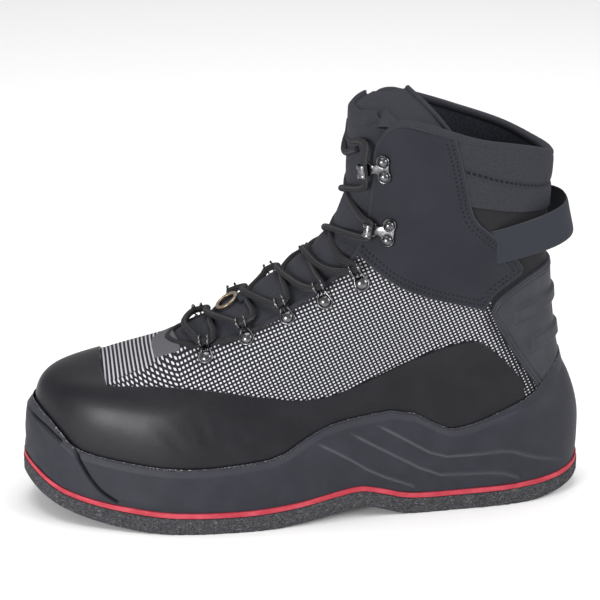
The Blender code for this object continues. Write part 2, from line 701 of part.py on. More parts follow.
# Heel counter: a moulded shell over the upper's heel with two raised bars on each side.
COUNTER_EDGE = (
    # x and height of its front edge, from the foot up
    (0.3933, 0.3187), (0.3582, 0.3979), (0.3277, 0.4667), (0.3207, 0.4958),
)
COUNTER_CREST = (
    # and of its top edge, towards the back of the heel
    (0.3207, 0.4958), (0.3299, 0.5250), (0.3552, 0.5513),
    (0.3933, 0.5792), (0.4287, 0.5938), (0.4360, 0.5950),
)
COUNTER_COLUMNS, COUNTER_ROWS = 9, 14
COUNTER_LIFT = 0.08  # v between the cup's lip and the counter's foot
BARS = (
    # x of the front end, height there, height at the back of the heel
    (0.3628, 0.4729, 0.5083),
    (0.3963, 0.3937, 0.4125),
)
BAR_BACK = 0.439  # share of LENGTH at the back of the heel
BAR_HALF, BAR_OUT, BAR_RAMP = 4.4, 1.9, 1.6


def counter_out(turn, v):
    """Distance of the counter's outer face from the last, with its bars."""
    at = shell(turn, v)
    out = np.full(turn.shape, FIT + COUNTER)
    for front, low, high in BARS:
        share = np.clip((at[..., 0] / LENGTH - front) / (BAR_BACK - front), 0.0, 1.0)
        inside = (BAR_HALF - np.abs(at[..., 2] - HEIGHT * (low + (high - low) * share))) / BAR_RAMP
        behind = (at[..., 0] - front * LENGTH) / BAR_RAMP
        out = np.maximum(out, FIT + COUNTER + BAR_OUT * np.clip(np.minimum(inside, behind), 0.0, 1.0))
    return out


edge = along(COUNTER_EDGE, COUNTER_ROWS)
crest = along(COUNTER_CREST, COUNTER_COLUMNS)
crest[-1, 0] = 0.0
foot_turns = np.linspace(edge[0, 0], 0.0, COUNTER_COLUMNS)
foot_line = np.stack([foot_turns, height_to_v(foot_turns, None, LIP) + COUNTER_LIFT], -1)
edge = foot_line[0] + (edge - edge[0]) * (edge[-1] - foot_line[0]) / (edge[-1] - edge[0])
crest_full = np.concatenate([crest, across_heel(crest)[-2::-1]])
foot_full = np.concatenate([foot_line, across_heel(foot_line)[-2::-1]])
counter_at = coons(foot_full, crest_full, edge, across_heel(edge))
counter_rubber = material("counter_rubber", (0.02, 0.021, 0.024), 0.55)
overlay("heel_counter", counter_at, FIT, counter_out(counter_at[..., 0], counter_at[..., 1]), counter_rubber)

# Ankle panels: nubuck between the throat, the collar and the mesh.
PANEL_REAR = (
    # x and height of its rear edge, from the foot up
    (0.3095, 0.5104), (0.3216, 0.5437), (0.3476, 0.5687), (0.3811, 0.5958), (0.3643, 0.6312),
    (0.3171, 0.6979), (0.2848, 0.7375), (0.2756, 0.7750), (0.2607, 0.8683), (0.2479, 0.9279),
)
PANEL_LOW = (
    # and of its lower edge, from the throat back
    (0.1128, 0.6521), (0.1433, 0.6188), (0.2037, 0.5604), (0.2692, 0.5208), (0.3095, 0.5000),
)
PANEL_COLUMNS, PANEL_ROWS = 9, 12
PANEL_EDGE = 0.006  # turns between the panel and the throat's edge
PANEL_CORNER, PANEL_DROP = 0.39, 0.12  # turn of its front corner, and v between its top and the collar's edge

panel_low = along(PANEL_LOW, PANEL_COLUMNS)
panel_rear = along(PANEL_REAR, PANEL_ROWS)
front_v = np.linspace(panel_low[0, 1], collar_v(PANEL_CORNER) - PANEL_DROP, PANEL_ROWS)
panel_front = np.stack([0.5 - throat_half(front_v) - PANEL_EDGE, front_v], -1)
panel_low = panel_low + (panel_front[0] - panel_low[0]) * np.linspace(1.0, 0.0, PANEL_COLUMNS)[:, None]
panel_rear = panel_rear + (panel_low[-1] - panel_rear[0]) * np.linspace(1.0, 0.0, PANEL_ROWS)[:, None]
top_turns = np.linspace(panel_front[-1, 0], panel_rear[-1, 0], PANEL_COLUMNS)
panel_top = np.stack([top_turns, collar_v(top_turns) - PANEL_DROP], -1)
panel_rear = panel_rear + (panel_top[-1] - panel_rear[-1]) * np.linspace(0.0, 1.0, PANEL_ROWS)[:, None]
panel_at = coons(panel_low, panel_top, panel_front, panel_rear)
overlay("ankle_panel_outer", panel_at, FIT, FIT + OVERLAY, nubuck)
overlay("ankle_panel_inner", across_heel(panel_at), FIT, FIT + OVERLAY, nubuck)

# Pull strap: an elastic band that stands off the back of the collar.
STRAP_REACH = 0.124  # turns from the back of the heel to each end
STRAP_WIDTH, STRAP_THICK = 22.0, 1.6
STRAP_END_Z, STRAP_BACK_Z = 0.6500, 0.6958  # shares of HEIGHT
STRAP_OFF_TOP, STRAP_OFF_LOW = 10.0, 14.5  # how far its edges stand off the heel
STRAP_BOW = 1.4  # power of its bow
STRAP_SLANT = 0.22  # the ends are cut along the panel's edge
STRAP_COLUMNS, STRAP_ROWS = 25, 3
LAST_RISE = 0.0958 * HEIGHT  # between two loops of the last at the heel
webbing = material("webbing", (0.03, 0.03, 0.033), 0.9)


def strap_solid():
    turns = np.linspace(-STRAP_REACH, STRAP_REACH, STRAP_COLUMNS)
    share = np.cos(np.pi / 2 * turns / STRAP_REACH)
    middle = height_to_v(turns, HEIGHT * (STRAP_END_Z + (STRAP_BACK_Z - STRAP_END_Z) * share))
    across = np.linspace(-0.5, 0.5, STRAP_ROWS)
    v = middle[None, :] + across[:, None] * STRAP_WIDTH / LAST_RISE
    turn = turns[None, :] * (1 + STRAP_SLANT * across[:, None])
    reach = STRAP_OFF_LOW + (STRAP_OFF_TOP - STRAP_OFF_LOW) * (across[:, None] + 0.5)
    off = 2 * FIT + reach * np.clip(share, 0.0, 1.0)[None, :] ** STRAP_BOW
    sheet_solid("pull_strap", shell(turn, v, off), shell(turn, v, off + STRAP_THICK), webbing)


strap_solid()


def dome(radius, height, centre, segments=8, rings=2):
    """Closed low dome on the plane of the centre, as points and faces."""
    points, faces = [], []
    for ring in range(rings):
        angle = np.pi / 2 * ring / rings
        level = radius * np.cos(angle)
        for k in range(segments):
            turn = 2 * np.pi * k / segments
            points.append((level * np.cos(turn), level * np.sin(turn), height * np.sin(angle)))
    top = len(points)
    points.append((0.0, 0.0, height))
    for ring in range(rings - 1):
        for k in range(segments):
            a, b = ring * segments + k, ring * segments + (k + 1) % segments
            faces.append((a, b, b + segments, a + segments))
    last = (rings - 1) * segments
    faces += [(last + k, last + (k + 1) % segments, top) for k in range(segments)]
    faces.append(tuple(range(segments - 1, -1, -1)))
    return np.array(points) + centre, faces


def joined(name, solids, colour):
    """One object from closed solids that overlap."""
    made = [mesh(f"{name}_piece_{k}", *solid, colour) for k, solid in enumerate(solids)]
    first, *others = made
    for other in others:
        cut = first.modifiers.new(other.name, "BOOLEAN")
        cut.operation, cut.solver, cut.object = "UNION", "EXACT", other
    whole = bpy.data.meshes.new_from_object(first.evaluated_get(bpy.context.evaluated_depsgraph_get()))
    for piece in (first, *others):
        bpy.data.objects.remove(piece, do_unlink=True)
    whole.name = name
    whole.materials.clear()
    whole.materials.append(colour)
    return whole


def placed(name, data, point, along_axis, up_axis, out_axis):
    """An object that shares a mesh, with its local X, Y and Z along three directions."""
    made = bpy.data.objects.new(name, data)
    rows = np.column_stack([along_axis, up_axis, out_axis, point * MM])
    made.matrix_world = Matrix([*rows.tolist(), (0.0, 0.0, 0.0, 1.0)])
    bpy.context.scene.collection.objects.link(made)
    return made


def seat(base, towards):
    """Point and axes of a fitting that sits on the upper at base and points towards another (turn, v)."""
    point, out = shell(*base), last_normal(*base)
    up = shell(*towards) - point
    up -= out * (up @ out)
    up /= np.linalg.norm(up)
    return point, np.cross(up, out), up, out


def mirrored(place, back=0.0):
    """The same (turn, v) on the inner side, moved by some turns towards the heel."""
    return (1.0 - place[0] + back, place[1])


# Lacing hardware: D-rings with a domed rivet, and hooks with two.
RINGS = (
    # rivet's turn and v, then those of the throat's edge that it points to
    ((0.3875, 3.80), (0.428, 4.22)),
    ((0.3792, 4.34), (0.418, 4.70)),
    ((0.3653, 4.85), (0.400, 5.16)),
    ((0.3440, 5.22), (0.382, 5.58)),
    ((0.3240, 5.62), (0.355, 5.95)),
)
HOOKS = (
    # middle between the rivets, and a point on the throat's edge
    ((0.3480, 6.80), (0.400, 6.86)),
    ((0.3740, 7.49), (0.420, 7.48)),
)
HOOKS_BACK = 0.035  # the inner hooks sit this much further back
WIRE = 0.65
EYE_R, EYE_X, EYE_Y = 3.1, 2.2, 8.6  # eyes of a ring: radius, distance from its middle and from the rivet
EYE_Z = EYE_R + WIRE + 0.05
EYE_START, EYE_TURN, EYE_STEPS = 40, 210, 6  # degrees
SHANK_OUT, SHANK_Y, SHANK_Z = 0.6, 4.6, 1.0  # bend of the wire between an eye and the rivet
LOOP_R, LOOP_HALF, LOOP_STEPS = 4.1, 80, 5  # wire round the rivet, half its arc in degrees
LOOP_LIFT = 0.25
BRIDGE_R, BRIDGE_LIFT = 0.6, 0.1
RIVET_R, RIVET_H = 3.4, 2.6
HOOK_R, HOOK_ARC, HOOK_STEPS = 3.4, 200, 5  # middle of the hook's curl, its arc in degrees
HOOK_START = 0.4  # from an eye's distance to the start of the curl
HOOK_LEVEL, HOOK_HALF_THICK = 0.9, 0.6
PLATE = (
    # distance from the middle and half width of the hook's plate
    (-4.6, 5.6),
    (2.0, 4.6),
)
CURL_HALF = 3.4
HOOK_RIVETS, HOOK_RIVET_Y = 4.4, -1.2
RIVET_LIFT, COLLAR_LIFT, COLLAR_OUT, COLLAR_HIGH = 1.2, 0.3, 0.4, 1.1
dark_nickel = material("dark_nickel", (0.25, 0.25, 0.26), 0.3, 1.0)


def eye_points(x, start, turns):
    """Points of the wire round one eye."""
    angles = np.radians(np.linspace(start, start + turns, EYE_STEPS))
    return [(x, EYE_Y + EYE_R * np.cos(a), EYE_Z + EYE_R * np.sin(a)) for a in angles]


def ring_mesh():
    """A wire that runs round the rivet and ends in two eyes for the lace; the rivet's dome is inside it."""
    level = WIRE + LOOP_LIFT
    arc = np.radians(np.linspace(-LOOP_HALF, LOOP_HALF, LOOP_STEPS))
    round_rivet = [(LOOP_R * np.sin(a), -LOOP_R * np.cos(a), level) for a in arc]
    shanks = [(side * (EYE_X + SHANK_OUT), SHANK_Y, SHANK_Z) for side in (-1, 1)]
    left = eye_points(-EYE_X, EYE_START, EYE_TURN)[:-1]
    right = eye_points(EYE_X, EYE_START + EYE_TURN, -EYE_TURN)[1:]
    wire = [*left, shanks[0], *round_rivet, shanks[1], *right]
    bridge = [(side * LOOP_R, 0.0, WIRE + BRIDGE_LIFT) for side in (-1, 1)]
    rivet = dome(RIVET_R, RIVET_H, (0.0, 0.0, LOOP_LIFT))
    return joined("lace_ring", [tube(wire, WIRE, 4), tube(bridge, BRIDGE_R, 4), rivet], dark_nickel)


def hook_mesh():
    """A plate on two rivets, with a lip that curls back over the lace."""
    arc = np.radians(np.linspace(0, HOOK_ARC, HOOK_STEPS))
    start = EYE_Y + HOOK_START
    curl = [(start + HOOK_R * np.sin(a), HOOK_LEVEL + HOOK_R * (1 - np.cos(a))) for a in arc]
    profile = [(y, HOOK_LEVEL) for y, _ in PLATE] + curl
    half = [width for _, width in PLATE] + [CURL_HALF] * len(curl)
    points = []
    for k, ((y, z), w) in enumerate(zip(profile, half)):
        ahead = np.array(profile[min(k + 1, len(profile) - 1)]) - np.array(profile[max(k - 1, 0)])
        ahead /= np.linalg.norm(ahead)
        ny, nz = -ahead[1] * HOOK_HALF_THICK, ahead[0] * HOOK_HALF_THICK
        points += [(-w, y - ny, z - nz), (w, y - ny, z - nz), (w, y + ny, z + nz), (-w, y + ny, z + nz)]
    faces = quads(len(profile), 4, False, True)
    faces += [(3, 2, 1, 0), tuple(range(len(points) - 4, len(points)))]
    rivets = []
    for x in (-HOOK_RIVETS, HOOK_RIVETS):
        rivets.append(dome(RIVET_R, RIVET_H, (x, HOOK_RIVET_Y, RIVET_LIFT)))
        rivets.append(dome(RIVET_R + COLLAR_OUT, COLLAR_HIGH, (x, HOOK_RIVET_Y, COLLAR_LIFT), rings=1))
    return joined("lace_hook", [(np.array(points), faces), *rivets], dark_nickel)


ring_data, hook_data = ring_mesh(), hook_mesh()
seats = []
for number, (base, towards) in enumerate(RINGS, 1):
    for side, flip in (("outer", False), ("inner", True)):
        place = (mirrored(base), mirrored(towards)) if flip else (base, towards)
        point, across, up, out = seat(*place)
        placed(f"lace_ring_{side}_{number}", ring_data, point, across, up, out)
        seats.append((side, point, across, up, out))
for number, (base, towards) in enumerate(HOOKS, 1):
    for side, flip in (("outer", False), ("inner", True)):
        place = [mirrored(at, HOOKS_BACK) for at in (base, towards)] if flip else (base, towards)
        point, across, up, out = seat(*place)
        point = point + out * (2 * FIT + OVERLAY)
        placed(f"lace_hook_{side}_{number}", hook_data, point, across, up, out)
        seats.append((side, point, across, up, out))

# Lace: one cord from the top of one side, down through every eye, over the throat's base and up again.
CROSS_LOW, CROSS_HIGH = -0.2, 3.5  # distance of the crossing strands' middles from the last
EYE_HOLD, HOOK_HOLD, EYE_LEAD = 2.4, 4.0, 5.8  # half lengths of the lace in an eye, in a hook and beyond
HOOK_Y, HOOK_Z = 9.0, 4.3
CROSSINGS = (4.54, 5.07, 5.60, 6.05, 6.60, 7.20)  # v at which the strands between two levels cross
EDGE_SHARE = 0.35  # share of the way to the crossing at which a strand passes the throat's edge
RING_EDGE_DROP, HOOK_EDGE_DROP = 0.08, 0.18  # v below the next eye at which it comes back to the edge
RING_EDGE, RING_EDGE_OUT = 0.78, 1.9  # share of the throat's half width there, and distance from the last
HOOK_EDGE, HOOK_EDGE_OUT = 0.92, 3.9
BAR_V, BAR_OUT_LACE = 4.23, 3.0
END_TURN, END_V = 0.060, 7.75  # turns past the middle and v at which each end stops
END_DROP, END_DIP = 0.12, 0.12  # v by which the end on top lies lower, and each end's middle
END_RISE = 0.6  # distance of the ends from the level of the lower strands
BAR_REACH = 0.035  # turns on each side of the bar's middle
LACE_SIDES = 5


def lace_stops():
    """For each side, the points before, in and after each eye, from the toe up."""
    stops = {"outer": [], "inner": []}
    for k, (side, point, across, up, out) in enumerate(seats):
        hook = k >= 2 * len(RINGS)
        y, z = (HOOK_Y, HOOK_Z) if hook else (EYE_Y, EYE_Z)
        middle = point + up * y + out * z
        onward = across if across[2] > 0 else -across
        hold = HOOK_HOLD if hook else EYE_HOLD
        stops[side].append([middle + onward * reach for reach in (-EYE_LEAD, -hold, hold, EYE_LEAD)])
    return stops


def edge_point(side, v, hook):
    """Where a crossing strand passes the throat's edge."""
    half = throat_half(v) * (HOOK_EDGE if hook else RING_EDGE)
    return shell(0.5 + (half if side == "inner" else -half), v, HOOK_EDGE_OUT if hook else RING_EDGE_OUT)


def lace_route():
    stops = lace_stops()
    levels = [towards[1] for _, towards in (*RINGS, *HOOKS)]
    routes = []
    for first in ("outer", "inner"):
        side = first
        path = []
        for k in range(len(levels)):
            path += stops[side][k]
            cross_out = CROSS_HIGH if side == "inner" else CROSS_LOW
            if k + 1 < len(levels):
                leave_v = levels[k] + (CROSSINGS[k] - levels[k]) * EDGE_SHARE
                path.append(edge_point(side, leave_v, k >= len(RINGS)))
                path.append(shell(0.5, CROSSINGS[k], cross_out))
                side = "inner" if side == "outer" else "outer"
                hook = k + 1 >= len(RINGS)
                drop = HOOK_EDGE_DROP if hook else RING_EDGE_DROP
                path.append(edge_point(side, levels[k + 1] - drop, hook))
        path.append(edge_point(side, END_V, True))
        end_v = END_V - (END_DROP if side == "inner" else 0.0)
        path.append(shell(0.5, end_v - END_DIP, cross_out))
        end_turn = -END_TURN if side == "inner" else END_TURN
        path.append(shell(0.5 + end_turn, end_v, CROSS_LOW + END_RISE))
        routes.append(path)
    bar = [shell(0.5 + t, BAR_V, BAR_OUT_LACE) for t in (-BAR_REACH, 0.0, BAR_REACH)]
    return routes[0][::-1] + bar + routes[1]


lace_cord = material("lace_cord", (0.03, 0.03, 0.034), 0.85)
mesh("lace", *tube(lace_route(), LACE_D / 2, LACE_SIDES), lace_cord)

# Tongue fittings: a D-ring for a gaiter hook, and the short webbing tab that holds it.
TAB_HALF, TAB_LOW_V, TAB_HIGH_V = 0.019, 5.00, 5.12
TAB_THICK = 0.7
TAB_COLUMNS, TAB_ROWS = 5, 3
RING_V, RING_TURN, RING_AHEAD = 4.83, 0.505, 0.2
RING_HALF_WIDE, RING_HALF_LONG, RING_WIRE = 8.2, 5.8, 0.9
RING_STEPS, RING_SIDES = 20, 5

tab_turns = np.linspace(0.5 - TAB_HALF, 0.5 + TAB_HALF, TAB_COLUMNS)
tab_turn, tab_v = np.meshgrid(tab_turns, np.linspace(TAB_LOW_V, TAB_HIGH_V, TAB_ROWS))
tab_low = TONGUE_MIDDLE_OFF + FIT
sheet_solid("ring_tab", shell(tab_turn, tab_v, tab_low), shell(tab_turn, tab_v, tab_low + TAB_THICK), webbing)

ring_point, ring_across, ring_up, ring_out = seat((RING_TURN, RING_V), (RING_TURN, RING_V + RING_AHEAD))
ring_middle = ring_point + ring_out * (tab_low + RING_WIRE)
bronze = material("bronze_metal", (0.3, 0.22, 0.14), 0.35, 1.0)
ring_grid = []
for angle in 2 * np.pi * np.arange(RING_STEPS) / RING_STEPS:
    outward = ring_across * np.cos(angle) + ring_up * np.sin(angle)
    centre = ring_middle + ring_across * RING_HALF_WIDE * np.cos(angle)
    centre = centre + ring_up * RING_HALF_LONG * np.sin(angle)
    around = 2 * np.pi * np.arange(RING_SIDES) / RING_SIDES
    ring_grid.append([centre + RING_WIRE * (outward * np.cos(a) + ring_out * np.sin(a)) for a in around])
ring_solid("gravel_ring", ring_grid, bronze)

# Bindings: a rolled edge round the throat's base and a folded one round the collar.
BINDING_R = 1.2
BINDING_END_V = 4.05
BINDING_BACK = 0.022  # turns outside the throat's edge
BINDING_DROP = 0.10  # below the base of the throat
BINDING_RISE, BINDING_WIDEN, BINDING_DIP = 1.8, 0.5, 0.7  # powers of its curve up, out and down
BINDING_COLUMNS, BINDING_SIDES = 25, 5
BAND_END = 0.388  # turns from the back of the heel
BAND_V, BAND_TOP_GAP = 0.10, 0.01
BAND_COLUMNS = 37

binding_at = np.linspace(-1.0, 1.0, BINDING_COLUMNS)
rise = np.abs(binding_at)
binding_v = THROAT_V + (BINDING_END_V - THROAT_V) * rise**BINDING_RISE
binding_turn = 0.5 + np.sign(binding_at) * (throat_half(binding_v) + BINDING_BACK * rise**BINDING_WIDEN)
binding_v = binding_v - BINDING_DROP * (1 - rise) ** BINDING_DIP
binding_path = shell(binding_turn, binding_v, FIT + BINDING_R)
mesh("throat_binding", *tube(binding_path, BINDING_R, BINDING_SIDES), nubuck)

band_turns = np.linspace(-BAND_END, BAND_END, BAND_COLUMNS)
band_top = collar_v(np.abs(band_turns)) - BAND_TOP_GAP
band_at = np.stack([np.stack([band_turns, band_top - BAND_V * f], -1) for f in (1.0, 0.0)])
overlay("collar_binding", band_at, FIT, FIT + BAND, nubuck)
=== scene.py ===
import bmesh
import bpy
import numpy as np
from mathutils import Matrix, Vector


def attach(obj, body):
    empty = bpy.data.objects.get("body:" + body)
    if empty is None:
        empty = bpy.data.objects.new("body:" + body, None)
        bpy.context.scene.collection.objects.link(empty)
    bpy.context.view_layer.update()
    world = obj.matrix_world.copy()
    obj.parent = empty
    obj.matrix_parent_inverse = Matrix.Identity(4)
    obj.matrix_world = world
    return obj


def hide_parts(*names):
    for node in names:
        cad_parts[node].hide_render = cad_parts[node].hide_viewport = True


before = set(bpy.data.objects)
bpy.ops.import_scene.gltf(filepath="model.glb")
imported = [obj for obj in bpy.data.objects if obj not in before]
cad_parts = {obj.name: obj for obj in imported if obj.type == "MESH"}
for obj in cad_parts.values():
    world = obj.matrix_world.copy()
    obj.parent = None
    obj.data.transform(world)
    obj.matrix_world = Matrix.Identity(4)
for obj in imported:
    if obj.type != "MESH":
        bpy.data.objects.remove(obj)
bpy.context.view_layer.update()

# Studio: a camera low on the boot's outer side, a pale floor without an edge in view, and soft boxes
# above the toe, over the collar and behind the heel.
AZIMUTH, ELEVATION = np.radians(-6.5), np.radians(20.0)
DISTANCE, TARGET, LENS = 1.5, Vector((-0.0018, 0.0, 0.1193)), 155.0

WORLD_LIGHT, PAPER, FLOOR_HALF = 0.52, (0.93, 0.93, 0.93, 1.0), 9.0

back = Vector((np.sin(AZIMUTH) * np.cos(ELEVATION), -np.cos(AZIMUTH) * np.cos(ELEVATION), np.sin(ELEVATION)))
camera = bpy.data.objects.new("camera", bpy.data.cameras.new("camera"))
camera.location = TARGET + back * DISTANCE
camera.rotation_euler = back.to_track_quat("Z", "Y").to_euler()
camera.data.sensor_width, camera.data.lens = 36.0, LENS
bpy.context.scene.collection.objects.link(camera)
bpy.context.scene.camera = camera
bpy.context.scene.view_settings.view_transform = "Standard"

world = bpy.data.worlds.new("studio")
world.use_nodes = True
world.node_tree.nodes["Background"].inputs["Color"].default_value = (1.0, 1.0, 1.0, 1.0)
world.node_tree.nodes["Background"].inputs["Strength"].default_value = WORLD_LIGHT
bpy.context.scene.world = world


def soft_box(name, place, side, power):
    """A square light at a place, facing the boot."""
    lamp = bpy.data.lights.new(name, "AREA")
    lamp.shape, lamp.size, lamp.energy = "SQUARE", side, power
    made = bpy.data.objects.new(name, lamp)
    made.location = place
    made.rotation_euler = (Vector(place) - TARGET).to_track_quat("Z", "Y").to_euler()
    bpy.context.scene.collection.objects.link(made)


soft_box("key", (-0.98, -1.12, 0.36), 0.45, 19.0)
soft_box("top", (-0.1, 0.3, 1.7), 1.4, 18.0)
soft_box("rear", (1.1, -0.5, 0.8), 0.7, 11.0)

floor_mesh = bpy.data.meshes.new("floor")
corners = [(FLOOR_HALF * x, FLOOR_HALF * y, 0.0) for x, y in ((-1, -1), (1, -1), (1, 1), (-1, 1))]
floor_mesh.from_pydata(corners, [], [(0, 1, 2, 3)])
floor = bpy.data.objects.new("floor", floor_mesh)
bpy.context.scene.collection.objects.link(floor)
paper = bpy.data.materials.new("pale_paper")
paper.use_nodes = True
paper.node_tree.nodes["Principled BSDF"].inputs["Base Color"].default_value = PAPER
paper.node_tree.nodes["Principled BSDF"].inputs["Roughness"].default_value = 0.9
floor_mesh.materials.append(paper)

# Felt outsole: a 10 mm sheet of dense grey needle felt, die-cut to the sole's plan and cemented under it.
# Its cut edge is fibrous, with light flecks, and its underside is flat at the ball and at the heel.
MM = 0.001
LENGTH, BALL_HALF, HEIGHT = 328.0, 59.0, 240.0
FELT_GROW, STRIPE, FIT = 0.6, 3.0, 0.3
TOE_INWARD = 0.0847 * BALL_HALF
FOOT = (
    # half widths of the plan as shares of BALL_HALF, outer and inner side, from the heel to the toe
    (0.000, 0.000), (0.310, 0.310), (0.510, 0.510), (0.635, 0.615), (0.700, 0.655), (0.765, 0.655),
    (0.900, 0.720), (1.010, 0.870), (1.000, 0.935), (0.830, 0.825), (0.610, 0.650), (0.300, 0.350),
    (0.000, 0.000),
)
SOLE = (
    # x as a share of LENGTH, then the stripe's top and the felt's underside as shares of HEIGHT
    (-0.5000, 0.1333, 0.0833), (-0.4817, 0.1167, 0.0633), (-0.4512, 0.0942, 0.0433),
    (-0.4116, 0.0788, 0.0275), (-0.3628, 0.0675, 0.0138), (-0.3140, 0.0608, 0.0054),
    (-0.2591, 0.0554, 0.0000), (-0.1677, 0.0529, 0.0000), (-0.0762, 0.0550, 0.0000),
    (-0.0183, 0.0625, 0.0083), (0.0427, 0.0775, 0.0225), (0.0854, 0.0842, 0.0308), (0.1280, 0.0708, 0.0183),
    (0.1646, 0.0567, 0.0025), (0.2012, 0.0517, 0.0000), (0.2927, 0.0517, 0.0000), (0.3841, 0.0537, 0.0000),
    (0.4360, 0.0592, 0.0092), (0.4726, 0.0683, 0.0233), (0.5000, 0.0817, 0.0392),
)


class Socket:
    """A node's output. Sums and products of sockets and numbers make Math nodes."""

    def __init__(self, finish, output):
        self.finish, self.output = finish, output

    def math(self, operation, *values):
        return self.finish.node("ShaderNodeMath", values, operation=operation)

    def __add__(self, other):
        return self.math("ADD", self, other)

    def __sub__(self, other):
        return self.math("SUBTRACT", self, other)

    def __rsub__(self, other):
        return self.math("SUBTRACT", other, self)

    def __mul__(self, other):
        return self.math("MULTIPLY", self, other)

    def __truediv__(self, other):
        return self.math("DIVIDE", self, other)

    def __pow__(self, other):
        return self.math("POWER", self, other)

    __radd__, __rmul__ = __add__, __mul__

    def part(self):
        """How far this is from the middle of its whole step: 0 in the middle, 1 at the steps."""
        return self.math("ABSOLUTE", self.math("FRACT", self) - 0.5) * 2.0

    def wave(self):
        """A cosine of this number of turns, from 0 to 1."""
        return self.math("COSINE", self * (2 * np.pi)) * 0.5 + 0.5


class Finish:
    """A material: constants on its shader, and nodes for what varies over the surface."""

    def __init__(self, name, colour, roughness, **constants):
        self.material = bpy.data.materials.new(name)
        self.material.use_nodes = True
        self.tree = self.material.node_tree
        self.shader = self.tree.nodes["Principled BSDF"]
        self.shader.inputs["Base Color"].default_value = (*colour, 1.0)
        self.shader.inputs["Roughness"].default_value = roughness
        for key, value in constants.items():
            self.shader.inputs[key.replace("_", " ")].default_value = value

    def node(self, kind, values=(), out=0, **settings):
        made = self.tree.nodes.new(kind)
        for key, value in settings.items():
            setattr(made, key, value)
        for key, value in values.items() if isinstance(values, dict) else enumerate(values):
            if isinstance(value, Socket):
                self.tree.links.new(value.output, made.inputs[key])
            else:
                made.inputs[key].default_value = value
        return Socket(self, made.outputs[out])

    def place(self):
        return self.node("ShaderNodeTexCoord", out="Object")

    def value(self, name):
        """A number that the mesh carries at each of its points."""
        return self.node("ShaderNodeAttribute", out="Fac", attribute_name=name)

    def noise(self, size_mm, detail=3.0, stretch=(1.0, 1.0, 1.0)):
        """Cloudy noise with features of this size, stretched along the axes."""
        scale = tuple(1.0 / (size_mm * MM * s) for s in stretch)
        at = self.node("ShaderNodeVectorMath", (self.place(), scale), operation="MULTIPLY")
        return self.node("ShaderNodeTexNoise", {"Vector": at, "Scale": 1.0, "Detail": detail})

    def cells(self, size_mm, feature="DISTANCE_TO_EDGE"):
        values = {"Vector": self.place(), "Scale": 1.0 / (size_mm * MM)}
        return self.node("ShaderNodeTexVoronoi", values, out="Distance", feature=feature)

    def step(self, value, low, high):
        """0 below low, 1 above high and smooth between."""
        values = {"Value": value, "From Min": low, "From Max": high}
        return self.node("ShaderNodeMapRange", values, interpolation_type="SMOOTHSTEP")

    def blend(self, factor, first, second):
        """A colour between two, which are colours or sockets."""
        first, second = (c if isinstance(c, Socket) else (*c, 1.0) for c in (first, second))
        return self.node("ShaderNodeMix", {0: factor, 6: first, 7: second}, out=2, data_type="RGBA")

    def mottled(self, cloud, first, second, low=0.3):
        """Two colours, laid out in the clouds of a noise."""
        return self.blend(self.step(cloud, low, 0.7), first, second)

    def feed(self, name, value):
        self.tree.links.new(value.output, self.shader.inputs[name])

    def relief(self, *heights):
        """Bumps the surface by heights from 0 to 1, each given with its depth in millimetres."""
        total = None
        for height, depth in heights:
            total = height * (depth * MM) if total is None else total + height * (depth * MM)
        self.feed("Normal", self.node("ShaderNodeBump", {"Height": total, "Distance": 1.0}))


def curve(rows, t, column=1):
    """Smooth curve through a column of rows, read at t along their first column."""
    rows = np.asarray(rows, float)
    xs, ys = rows[:, 0], rows[:, column]
    t = np.clip(np.asarray(t, float), xs[0], xs[-1])
    gaps, rises = np.diff(xs), np.diff(ys)
    slopes = rises / gaps
    inner = (slopes[:-1] * gaps[1:] + slopes[1:] * gaps[:-1]) / (gaps[1:] + gaps[:-1])
    inner = np.where(slopes[:-1] * slopes[1:] > 0, inner, inner * 0.35)
    tangents = np.concatenate([slopes[:1], inner, slopes[-1:]])
    i = np.clip(np.searchsorted(xs, t, side="right") - 1, 0, len(gaps) - 1)
    f = (t - xs[i]) / gaps[i]
    a, b = ys[i], ys[i + 1]
    m, n = tangents[i] * gaps[i], tangents[i + 1] * gaps[i]
    return a + f * (m + f * (3 * (b - a) - 2 * m - n + f * (2 * (a - b) + m + n)))


def side_view(rows, x, column=1):
    return HEIGHT * curve(rows, x / LENGTH, column)


def through(points, f):
    """Smooth step from the second to the third of four neighbours."""
    p0, p1, p2, p3 = points
    return p1 + 0.5 * f * (p2 - p0 + f * (2 * p0 - 5 * p1 + 4 * p2 - p3 + f * (3 * (p1 - p2) + p3 - p0)))


def foot_share(turn):
    """Signed half width of the foot's plan at a turn round it: outer side negative, heel at 0, toe at 0.5."""
    rows = np.asarray(FOOT, float)
    signed = np.concatenate([-rows[:, 0], rows[-2::-1, 1]])
    steps = len(signed) - 1
    at = (np.asarray(turn, float) % 1.0) * steps
    i = np.floor(at).astype(int)
    return through([signed[(i + k) % steps] for k in (-1, 0, 1, 2)], at - i)


def grid_faces(rows, columns, wrap_rows=False, wrap_columns=False):
    i, j = np.meshgrid(
        np.arange(rows - (not wrap_rows)), np.arange(columns - (not wrap_columns)), indexing="ij"
    )
    i, j, k, m = i.ravel(), j.ravel(), (i.ravel() + 1) % rows, (j.ravel() + 1) % columns
    return np.stack([i * columns + j, i * columns + m, k * columns + m, k * columns + j], -1)


